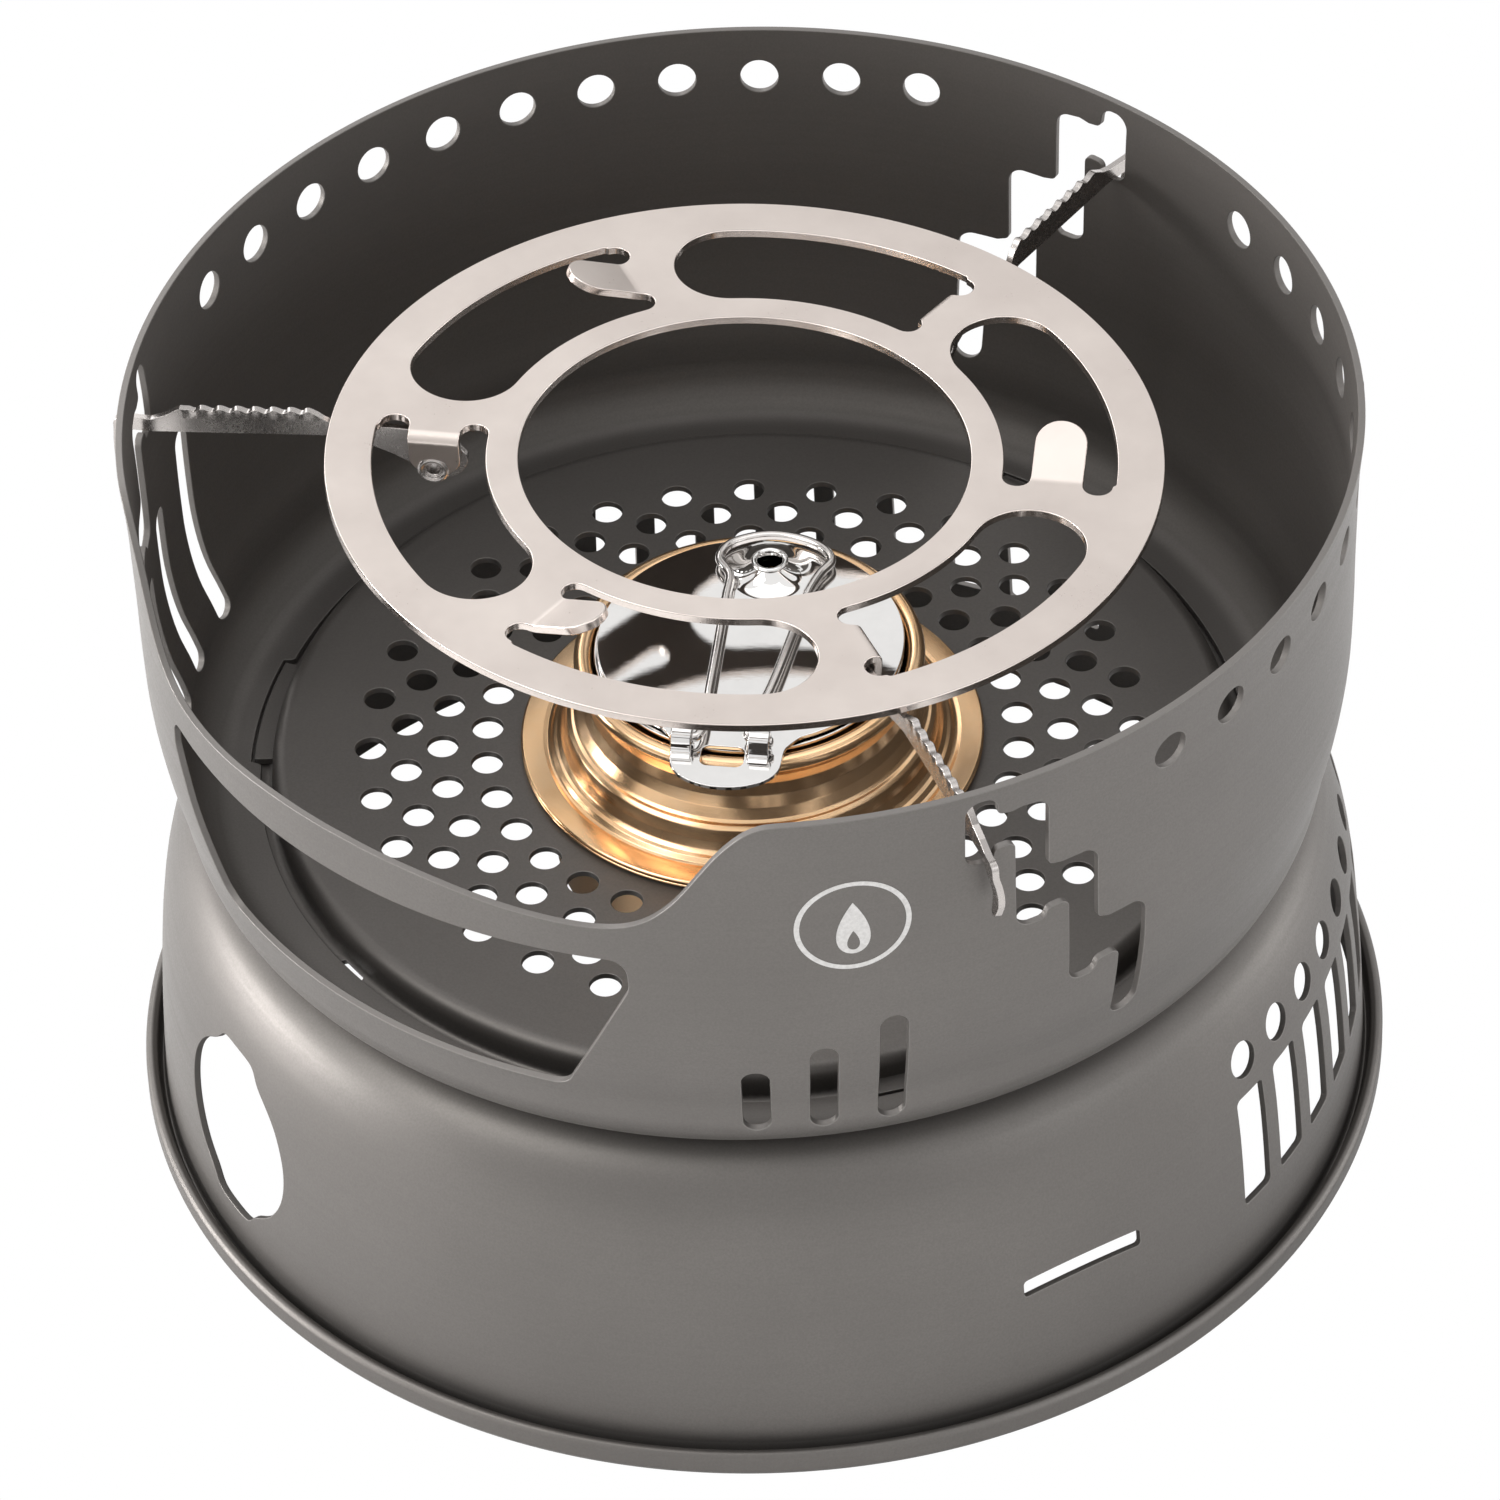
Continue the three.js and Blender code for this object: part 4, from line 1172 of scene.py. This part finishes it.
# rivet (radius, height, corner radius): the tail lies below by the reach from lug to arm
RIVET_TAIL = [(1.15, -0.55, 0.25), (2.5, -0.55, 0.3), (2.45, 0.0, 0.15), (1.75, 0.0, 0.0)]
RIVET_RIM = [
    (1.75, 0.02), (2.5, 0.02, 0.1), (2.6, 0.35, 0.2), (2.1, 0.72, 0.3), (1.62, 0.45, 0.2),
    (1.5, 0.1, 0.2), (1.3, 0.25, 0.1), (1.1, 0.05, 0.15),
]


def arm_outline():
    teeth = []
    for k in range(7, 0, -1):
        start = TEETH_START + TOOTH * k
        for t in np.linspace(1, 0, 13)[:-1]:
            # the outermost tooth is cut short by the slope to the hook
            if k == 7 and t > 0.8:
                continue
            x = start + TOOTH * t
            teeth.append((x, RING_TOP - 0.30 * (1 - math.cos(2 * PI * (x - start) / TOOTH))))
    eye = arc(EYE_OUT, PIVOT_Z, 4.2, 150, 320, 19)
    lower = rounded([*eye, *ARM_UNDER, *ARM_HOOK], 0.2)
    outline = np.concatenate([lower, np.array(teeth), rounded(ARM_INNER_TOP, 0.2)])
    return tidy(dense(outline, 0.8), 0.02)


def ring_point(direction, out, left, height):
    """A place given on the level ring, where the ring stands."""
    x, y = along(direction, [(out, left)])[0]
    return settle(np.array([[x, y, RING_TOP + height]]))[0]


def ease(t):
    return t * t * (3 - 2 * t)


def arm_front(direction):
    """The left face of an arm, from spots (distance out, height)."""
    c, s = math.cos(rad(direction)), math.sin(rad(direction))
    at_pivot, at_hook = ARM_LEFT[direction]
    pivot_lift = ring_point(direction, PIVOT_OUT, 0, PIVOT_H)[2] - PIVOT_Z
    press = 0.11  # sideways, at the teeth
    curl, curl_turn, curl_height = 0.95, PI * 0.86, 9.5  # the hook's sideways bow

    def front(spots):
        out, z = spots.T
        left = at_pivot + (at_hook - at_pivot) * ease(np.clip((out - 50) / 20.0, 0, 1))
        left = left + SHEET / 2
        # teeth are pressed over alternately
        tooth = np.clip((z - 125.2) / 1.9, 0, 1) * (out > TEETH_START) * (out < TEETH_END)
        phase = 2 * PI * (out - TEETH_START) / TOOTH
        left = left + press * tooth * np.sin(phase)
        down = np.clip((122.1 - z) / curl_height, 0, 1.05) * (out > 100.3)
        left = left + curl * np.sin(down * curl_turn) - 0.55 * np.clip((out - 97.0) / 4.0, 0, 1)
        # hinged at the ring and held at the hook, the arm leans when the ring leans
        lean = pivot_lift * np.clip((101.0 - out) / (101.0 - PIVOT_OUT), 0, 1.1)
        place = along(direction, np.stack([out, left], 1))
        ring = settle(np.column_stack([place, np.full(len(out), RING_TOP)]))[:, 2] - RING_TOP
        # the part inside the teeth stays under the ring
        under = ease(np.clip((70.5 - out) / 3.0, 0, 1)) * np.clip((z - 118.0) / 4.0, 0, 1)
        lift = lean + (np.minimum(ring, lean) - lean) * under
        steep = -curl * curl_turn * np.cos(down * curl_turn) / curl_height
        slope = np.where(down > 0, steep, 0.0)
        wave = press * tooth * np.cos(phase) * 2 * PI / TOOTH
        normals = unit(np.stack([-s - wave * c, c - wave * s, -slope], 1))
        return np.column_stack([place, z + lift]), normals

    return front


def build_arm(number, direction):
    mesh = Mesh()
    hole = circle(EYE_OUT + 1.0, PIVOT_Z, 2.0, 28)
    grid = np.array([(out, z) for out in np.arange(45, 104.5, 0.6) for z in ARM_GRID_Z])
    shape = Flat(arm_front(direction))
    sheet(mesh, shape, arm_outline(), [hole], thick=SHEET, bevel=0.12, grid=grid, clear=0.3)
    name = "support_arm_%d" % number
    mesh.object(name + "_sheet", "arm", "arm_%d" % number, name)


def build_arm_rivet(number, direction):
    """Hollow rivet: its rim lies on the lug's face, its tail is spread behind the arm."""
    mesh = Mesh()
    left = lug_pivot(direction)[1]
    reach = left - (ARM_LEFT[direction][0] - SHEET / 2)
    tail = [(radius, height - reach, corner) for radius, height, corner in RIVET_TAIL]
    lathe(mesh, rounded(tail + RIVET_RIM, 0.04), segs=56)
    turn = Matrix.Rotation(rad(direction), 4, "Z") @ Matrix.Rotation(-PI / 2, 4, "X")
    mesh.move(np.array(turn)[:3, :3], ring_point(direction, PIVOT_OUT, left, PIVOT_H))
    name = "arm_rivet_%d" % number
    mesh.object(name + "_eyelet", "arm", "pot_support", name)


# -------------------------------------------------------------------- burner
# closed profiles as (radius, height, corner radius)
CUP = [
    (0, 42.0), (30.4, 42.0, 3.0), (33.3, 44.2, 2.0), (33.3, 65.6, 0.8), (34.6, 66.6, 0.5),
    (38.0, 66.58, 0.25), (38.25, 66.85, 0.2), (38.0, 67.12, 0.2), (34.3, 67.12, 0.6),
    (32.7, 65.8, 0.8), (32.7, 44.8, 2.0), (30.2, 42.7, 2.5), (0, 42.7),
]
COLLAR = [
    # outside, from the flange up
    (34.0, 67.4, 0.2), (37.9, 67.4, 0.2), (38.3, 67.72, 0.25), (37.9, 68.05, 0.25),
    (34.5, 68.05, 0.35), (33.85, 67.82, 0.3), (33.35, 68.05, 0.3), (32.75, 68.75, 0.35),
    (32.15, 68.95, 0.3), (31.55, 69.5, 0.5), (30.95, 71.0, 0.8), (30.65, 72.1, 0.5),
    (30.35, 73.0, 0.4), (29.75, 73.55, 0.4), (29.2, 73.65, 0.3), (28.75, 74.1, 0.4),
    (27.7, 75.6, 1.4), (26.85, 77.6, 1.8), (26.55, 79.8, 1.6), (26.75, 81.6, 1.1),
    (27.35, 82.95, 0.3),
    # rolled top
    *arc(27.3, 84.5, 1.52, -78, 205, 25),
    # inside, going down
    (25.95, 82.0, 0.6), (25.8, 79.6, 1.5), (26.05, 77.5, 1.4), (26.95, 75.2, 1.1),
    (28.2, 73.3, 0.7), (29.55, 72.4, 0.5), (30.15, 70.6, 0.5), (30.9, 68.9, 0.4),
    (32.2, 68.1, 0.3), (33.0, 67.6, 0.3),
]
WICK = [(22.7, 43.4, 0.8), (31.9, 43.4, 1.5), (31.9, 65.0, 2.0), (28.0, 66.5, 2.0), (22.7, 65.8, 1.0)]
TUBE_R, TUBE_LOW, TUBE_TOP = 22.2, 43.2, 84.7


def tube_at(z):
    """The inner wall's profile: its length is its height."""
    return np.full(len(z), TUBE_R), z, np.ones(len(z)), np.zeros(len(z))


def tube_holes(count, pitch, first, height, radius, points):
    x, z = circle(0, height, radius, points).T
    return [np.stack([rad(pitch * k + first) + x / TUBE_R, z], 1) for k in range(count)]


def build_inner_wall():
    """The burner's inner wall, with feed holes low down and jets near its top."""
    mesh = Mesh()
    feeds = tube_holes(count=6, pitch=60, first=15, height=45.5, radius=1.3, points=20)
    jets = tube_holes(count=16, pitch=22.5, first=0, height=80.0, radius=0.6, points=14)
    angles = full_turn(240)
    holes = [row(angles, TUBE_LOW), *feeds, *jets]
    grid = np.concatenate([row(full_turn(90), z) for z in np.arange(47.5, 84, 3.0)])
    shape = Turned(tube_at, shift=-20)
    sheet(mesh, shape, row(angles, TUBE_TOP), holes, thick=0.6, bevel=0.1, grid=grid, clear=0.3)
    mesh.object("burner_inner_wall_tube", "brass", "burner", "burner_inner_wall")


def build_wick():
    """Packing between inner wall and cup, its top surface uneven."""
    mesh = Mesh()
    lathe(mesh, rounded(WICK, 0.5), segs=240)
    points = mesh.points[0]
    x, y, z = points.T
    a = np.arctan2(y, x)
    fuzz = 0.22 * np.sin(a * 47 + z * 2.1) + 0.16 * np.sin(a * 83 - z * 3.7) - 0.2
    points[:, 2] = z + fuzz * np.clip((z - 60) / 4, 0, 1)
    mesh.object("burner_wick_packing", "fibre", "burner", "burner_wick")


def build_burner():
    for name, profile, step, segs in (
        ("burner_cup", CUP, 0.25, 256),
        ("burner_collar", COLLAR, 0.2, 300),
    ):
        mesh = Mesh()
        lathe(mesh, rounded(profile, step), segs)
        mesh.object(name + "_shell", "brass", "burner", name)
    build_inner_wall()
    build_wick()


# ------------------------------------------------------------ simmer control
RIVET = np.array([4.0, 17.4])
TAB_DIR = 260.5
COVER_X, COVER_Y, COVER_R = 0.3, 0.5, 25.2
EAR_AT = np.array([-10.7, -24.4, 89.0])  # a point on the handle's hinge line
HINGE = np.array([0.98629, -0.16505, 0.0])  # direction of that line

# rivet (radius, height, corner radius)
SIMMER_RIVET = [
    (1.75, 84.05, 0.2), (3.15, 84.05, 0.25), (3.15, 84.7, 0.2), (2.4, 84.7), (2.4, 89.45),
    (3.0, 89.42, 0.1), (3.1, 89.75, 0.2), (2.65, 90.1, 0.3), (2.15, 89.85, 0.3),
    (1.95, 89.0, 0.3), (1.75, 88.2, 0.2),
]
# middle line of an ear round the hinge: towards the tab's tip, up
EAR_LINE = [
    (3.4, -1.95), (2.6, -1.7), (1.95, -1.0), (1.62, 0.1), (1.1, 1.15), (0.1, 1.62),
    (-0.95, 1.3), (-1.55, 0.4), (-1.6, -0.5), (-1.3, -1.15),
]
# section of an ear, rounded at its long edges: share of its half width, distance off the middle
EAR_SECTION = [
    (-1.0, -0.10), (-1.0, 0.10), (-0.86, 0.36), (0.86, 0.36),
    (1.0, 0.10), (1.0, -0.10), (0.86, -0.36), (-0.86, -0.36),
]
EAR_SPANS = ((-2.35, 1.05), (10.2, 13.7))  # along the hinge
HANDLE = [
    (-12.9, -24.03, 89.0), (-10.7, -24.4, 89.0), (-9.2, -24.65, 89.0), (-8.3, -23.5, 89.0),
    (-6.6, -12.5, 88.9), (-4.4, 3.0, 88.7), (-3.4, 10.0, 88.6), (-2.7, 15.6, 88.5),
    (-4.2, 19.6, 88.6), (-2.6, 22.9, 88.6), (3.0, 24.9, 88.6), (8.4, 24.0, 88.6),
    (12.9, 21.0, 88.6), (14.1, 17.8, 88.6), (12.1, 14.6, 88.6), (10.0, 10.0, 88.6),
    (7.9, 2.3, 88.7), (3.4, -13.0, 88.9), (-0.75, -24.6, 89.0), (-0.35, -25.7, 89.0),
    (0.5, -26.25, 89.0), (1.4, -26.42, 89.0), (3.1, -26.71, 89.0),
]


def build_simmer_ring():
    """The lower ring; a seat for the rivet bulges into its opening."""
    mesh = Mesh()
    seat, seat_r = RIVET * 0.98, 4.6
    hole = []
    for p in circle(0, 0, 18.2, 120):
        if norm(p - seat) < seat_r:
            way = p - p / norm(p) * 2.0 - seat
            p = seat + way / norm(way) * seat_r
        hole.append(p)
    hole = soften(dense(tidy(np.array(hole), 0.05), 0.6), 3)
    holes = [hole, circle(*RIVET, 2.7, 36)]
    sheet(mesh, level(86.1), circle(0, 0, 25.4, 200), holes, thick=1.1, bevel=0.2)
    mesh.object("simmer_ring_plate", "mirror", "simmer_base", "simmer_ring")


def cover_outline():
    """A disc with a tab."""
    gap = math.degrees(math.asin(9.0 / COVER_R) + 0.10)
    disc = arc(COVER_X, COVER_Y, COVER_R, TAB_DIR + gap, TAB_DIR - gap + 360, 150)
    tip = arc(0, 0, 1, -90, 90, 31) * (6.3, 9.1) + (29.6, 0)
    tab = [(COVER_R, -9.4), (26.2, -9.1), *tip, (26.2, 9.1), (COVER_R, 9.4)]
    tab = along(TAB_DIR, tab) + (COVER_X, COVER_Y)
    return soften(dense(tidy(np.concatenate([disc, tab]), 0.02), 0.7), 2)


def cover_front(spots):
    """A drawn cover: a little dished, and drawn up into a boss round the rivet."""
    dish = 0.12
    boss, boss_out, boss_in, power = 2.55, 7.4, 2.6, 1.9
    off = spots - (COVER_X, COVER_Y)
    share = np.clip((off**2).sum(1) / COVER_R**2, 0, 1)
    z = 87.2 - dish * (1 - share)
    grade = 2 * dish * off / COVER_R**2 * (share < 1)[:, None]
    off = spots - RIVET
    away = np.maximum(np.hypot(off[:, 0], off[:, 1]), 1e-6)
    t = np.clip((boss_out - away) / (boss_out - boss_in), 0, 1)
    z = z + boss * t**power * (1.0 - 0.12 * t**6)
    slope = -boss * power * np.maximum(t, 1e-9) ** (power - 1) / (boss_out - boss_in) * (t > 0)
    grade = grade + (slope / away)[:, None] * off
    normals = unit(np.column_stack([-grade, np.ones(len(spots))]))
    return np.column_stack([spots, z]), normals


def cover_ear(mesh, start, end):
    """A strip raised from the tab and curled over an end of the handle."""
    middle = spline(EAR_LINE, 7)
    tangent = unit(np.gradient(middle, axis=0))
    normal = np.stack([tangent[:, 1], -tangent[:, 0]], 1)
    tipward = np.cross(HINGE, UP)
    taper = np.ones(len(middle))
    taper[-7:] = np.sqrt(np.clip(1 - (np.arange(7) / 6.6) ** 2 * 0.75, 0.2, 1))

    def stand(rows):
        return rows[:, 0:1] * tipward + rows[:, 1:2] * UP

    points, normals = [], []
    for share, off in EAR_SECTION:
        shift = HINGE * (share * 0.5 * (end - start)) * taper[:, None]
        centre = EAR_AT + HINGE * (start + end) / 2
        points.append(centre + shift + stand(middle + normal * off))
        if abs(off) > 0.2:
            normals.append(unit(stand(normal) * np.sign(off)))
        else:
            normals.append(unit(np.tile(np.sign(share) * HINGE, (len(middle), 1))))
    points, normals = np.concatenate(points), np.concatenate(normals)
    length, rows = len(middle), len(EAR_SECTION)
    pairs = []
    for r in range(rows):
        a, b = r * length, (r + 1) % rows * length
        for i in range(length - 1):
            face = [a + i, a + i + 1, b + i + 1, b + i]
            pairs.append(facing(points, face, [normals[j] for j in face]))
    ways = stand(tangent)
    for i, way in ((0, -ways[0]), (length - 1, ways[-1])):
        pairs.append(facing(points, [r * length + i for r in range(rows)], [way] * rows))
    mesh.add(points, [face for face, _ in pairs], [ends for _, ends in pairs])


def build_simmer_cover():
    mesh = Mesh()
    window = box(half_width=3.5, low=-2.35, high=2.35, radius=1.3, step=0.2)
    window = along(TAB_DIR + 90, window) + (-5.0, -27.5)
    # an even grid, with close rings on the boss
    xs, ys = np.arange(-25, 26, 2.5), np.arange(-36, 26, 2.5)
    even = np.array([(x, y) for x in xs for y in ys])
    grid = [even[np.hypot(*(even - RIVET).T) > 8.5]]
    grid += [circle(*RIVET, radius, 72) for radius in np.arange(2.95, 8.4, 0.4)]
    grid = np.concatenate(grid)
    holes = [window, circle(*RIVET, 2.6, 64)]
    shape = Flat(cover_front)
    sheet(mesh, shape, cover_outline(), holes, thick=0.8, bevel=0.16, grid=grid, clear=0.25)
    for start, end in EAR_SPANS:
        cover_ear(mesh, start, end)
    mesh.object("simmer_cover_plate", "mirror", "simmer_lid", "simmer_cover")


def build_simmer():
    build_simmer_ring()
    build_simmer_cover()
    mesh = Mesh()
    lathe(mesh, rounded(SIMMER_RIVET, 0.07), 72, *RIVET)
    mesh.object("simmer_rivet_eyelet", "mirror", "simmer_base", "simmer_rivet")
    mesh = Mesh()
    sweep(mesh, spline(HANDLE, 16), radius=0.8, sides=24)
    mesh.object("simmer_handle_wire", "bright", "handle", "simmer_handle")


build_base()
build_upper()
build_mark()
build_ring()
for number, direction in enumerate(ARM_LEFT, 1):
    build_arm(number, direction)
    build_arm_rivet(number, direction)
build_burner()
build_simmer()


# --------------------------------------------------------------------- stage
def axis_turn(degrees, i, j):
    """A rotation that turns axis i towards axis j."""
    turn = np.eye(3)
    turn[i, i] = turn[j, j] = math.cos(rad(degrees))
    turn[j, i] = math.sin(rad(degrees))
    turn[i, j] = -turn[j, i]
    return turn


def camera():
    """Looks down at the rim's centre from -Y, then is turned a little about its own axes."""
    distance, elevation = 1422.4, rad(39.83)
    yaw, pitch, roll = -0.02, 2.21, 2.28
    place = np.array([0, -distance * math.cos(elevation), distance * math.sin(elevation)])
    forward = -place / norm(place)
    right = np.array([1.0, 0, 0])
    axes = np.stack([right, np.cross(right, forward), -forward])
    axes = axis_turn(roll, 0, 1) @ axis_turn(pitch, 1, 2) @ axis_turn(yaw, 2, 0) @ axes
    data = bpy.data.cameras.new("camera")
    data.sensor_width = 36.0
    data.sensor_fit = "AUTO"
    data.lens = 213.6
    data.clip_start, data.clip_end = 0.05, 50.0
    eye = bpy.data.objects.new("camera", data)
    world = Matrix(axes.T.tolist()).to_4x4()
    world.translation = Vector((place + np.array([0, 0, RIM_Z])) * MM)
    eye.matrix_world = world
    bpy.context.scene.collection.objects.link(eye)
    bpy.context.scene.camera = eye


def studio_world():
    """A pale world, a little darker below."""
    world = bpy.data.worlds.new("studio")
    bpy.context.scene.world = world
    world.use_nodes = True
    tree = world.node_tree
    background = tree.nodes["Background"]
    place = tree.nodes.new("ShaderNodeTexCoord")
    split = tree.nodes.new("ShaderNodeSeparateXYZ")
    strength = tree.nodes.new("ShaderNodeMapRange")
    # from straight down to straight up, and the strengths there
    for i, value in enumerate((-1.0, 1.0, 0.72, 1.0)):
        strength.inputs[i + 1].default_value = value
    tree.links.new(place.outputs["Generated"], split.inputs[0])
    tree.links.new(split.outputs[2], strength.inputs[0])
    tree.links.new(strength.outputs[0], background.inputs["Strength"])
    background.inputs["Color"].default_value = (1.0, 0.995, 0.99, 1.0)


def floor_white():
    """A back-lit table: evenly bright to the camera, a pale board to everything else."""
    look = Nodes("floor_white")
    cloud = look.remap(look.noise(scale=3.0, detail=2.0))
    base = look.mix(cloud, low=(0.93, 0.93, 0.93), high=(0.96, 0.96, 0.96))
    look.set(Base_Color=base, Roughness=0.9)
    glow = look.add("Emission")
    look.feed(glow.inputs["Color"], (1.0, 1.0, 1.0))
    look.feed(glow.inputs["Strength"], 1.0)
    rays = look.add("LightPath")
    either = look.add("MixShader")
    look.link(rays.outputs["Is Camera Ray"], either.inputs[0])
    look.link(look.bsdf.outputs[0], either.inputs[1])
    look.link(glow.outputs[0], either.inputs[2])
    look.link(either.outputs[0], look.out.inputs[0])
    return look.mat


def floor():
    data = bpy.data.meshes.new("floor")
    count, half, z = 24, 3.0, -0.0002
    steps = np.linspace(-half, half, count)
    points = [(x, y, z) for y in steps for x in steps]
    faces = []
    for j in range(count - 1):
        for i in range(count - 1):
            k = j * count + i
            faces.append((k, k + 1, k + count + 1, k + count))
    data.from_pydata(points, [], faces)
    board = bpy.data.objects.new("floor", data)
    data.materials.append(floor_white())
    bpy.context.scene.collection.objects.link(board)


def light(name, place, aim, size, energy, color=(1, 1, 1), size_y=None):
    """An area light turned to the point of the axis at height aim."""
    data = bpy.data.lights.new(name, "AREA")
    data.energy = energy
    data.color = color
    data.size = size
    if size_y:
        data.shape = "RECTANGLE"
        data.size_y = size_y
    lamp = bpy.data.objects.new(name, data)
    lamp.location = place
    lamp.rotation_mode = "QUATERNION"
    lamp.rotation_quaternion = (Vector((0, 0, aim)) - Vector(place)).to_track_quat("-Z", "Y")
    bpy.context.scene.collection.objects.link(lamp)


def lights():
    warm, cool, left = (1.0, 0.985, 0.96), (0.97, 0.985, 1.0), (1.0, 0.985, 0.975)
    light("key", (-1.0, -0.45, 1.4), aim=0.08, size=0.9, energy=9.0, color=warm)
    light("fill", (1.3, -0.9, 0.9), aim=0.08, size=0.9, energy=4.0, color=cool)
    light("top", (0.0, 0.2, 2.0), aim=0.08, size=1.6, energy=4.5)
    light("left", (-1.5, 0.15, 0.25), aim=0.05, size=0.8, energy=21.0, color=left, size_y=0.5)
    light("right", (1.5, 0.35, 0.3), aim=0.05, size=0.7, energy=4.5, size_y=0.5)
    light("back_left", (-0.85, 1.35, 0.95), aim=0.10, size=0.9, energy=7.0)


camera()
bpy.context.scene.view_settings.view_transform = "Standard"
bpy.context.scene.view_settings.look = "None"
studio_world()
floor()
lights()
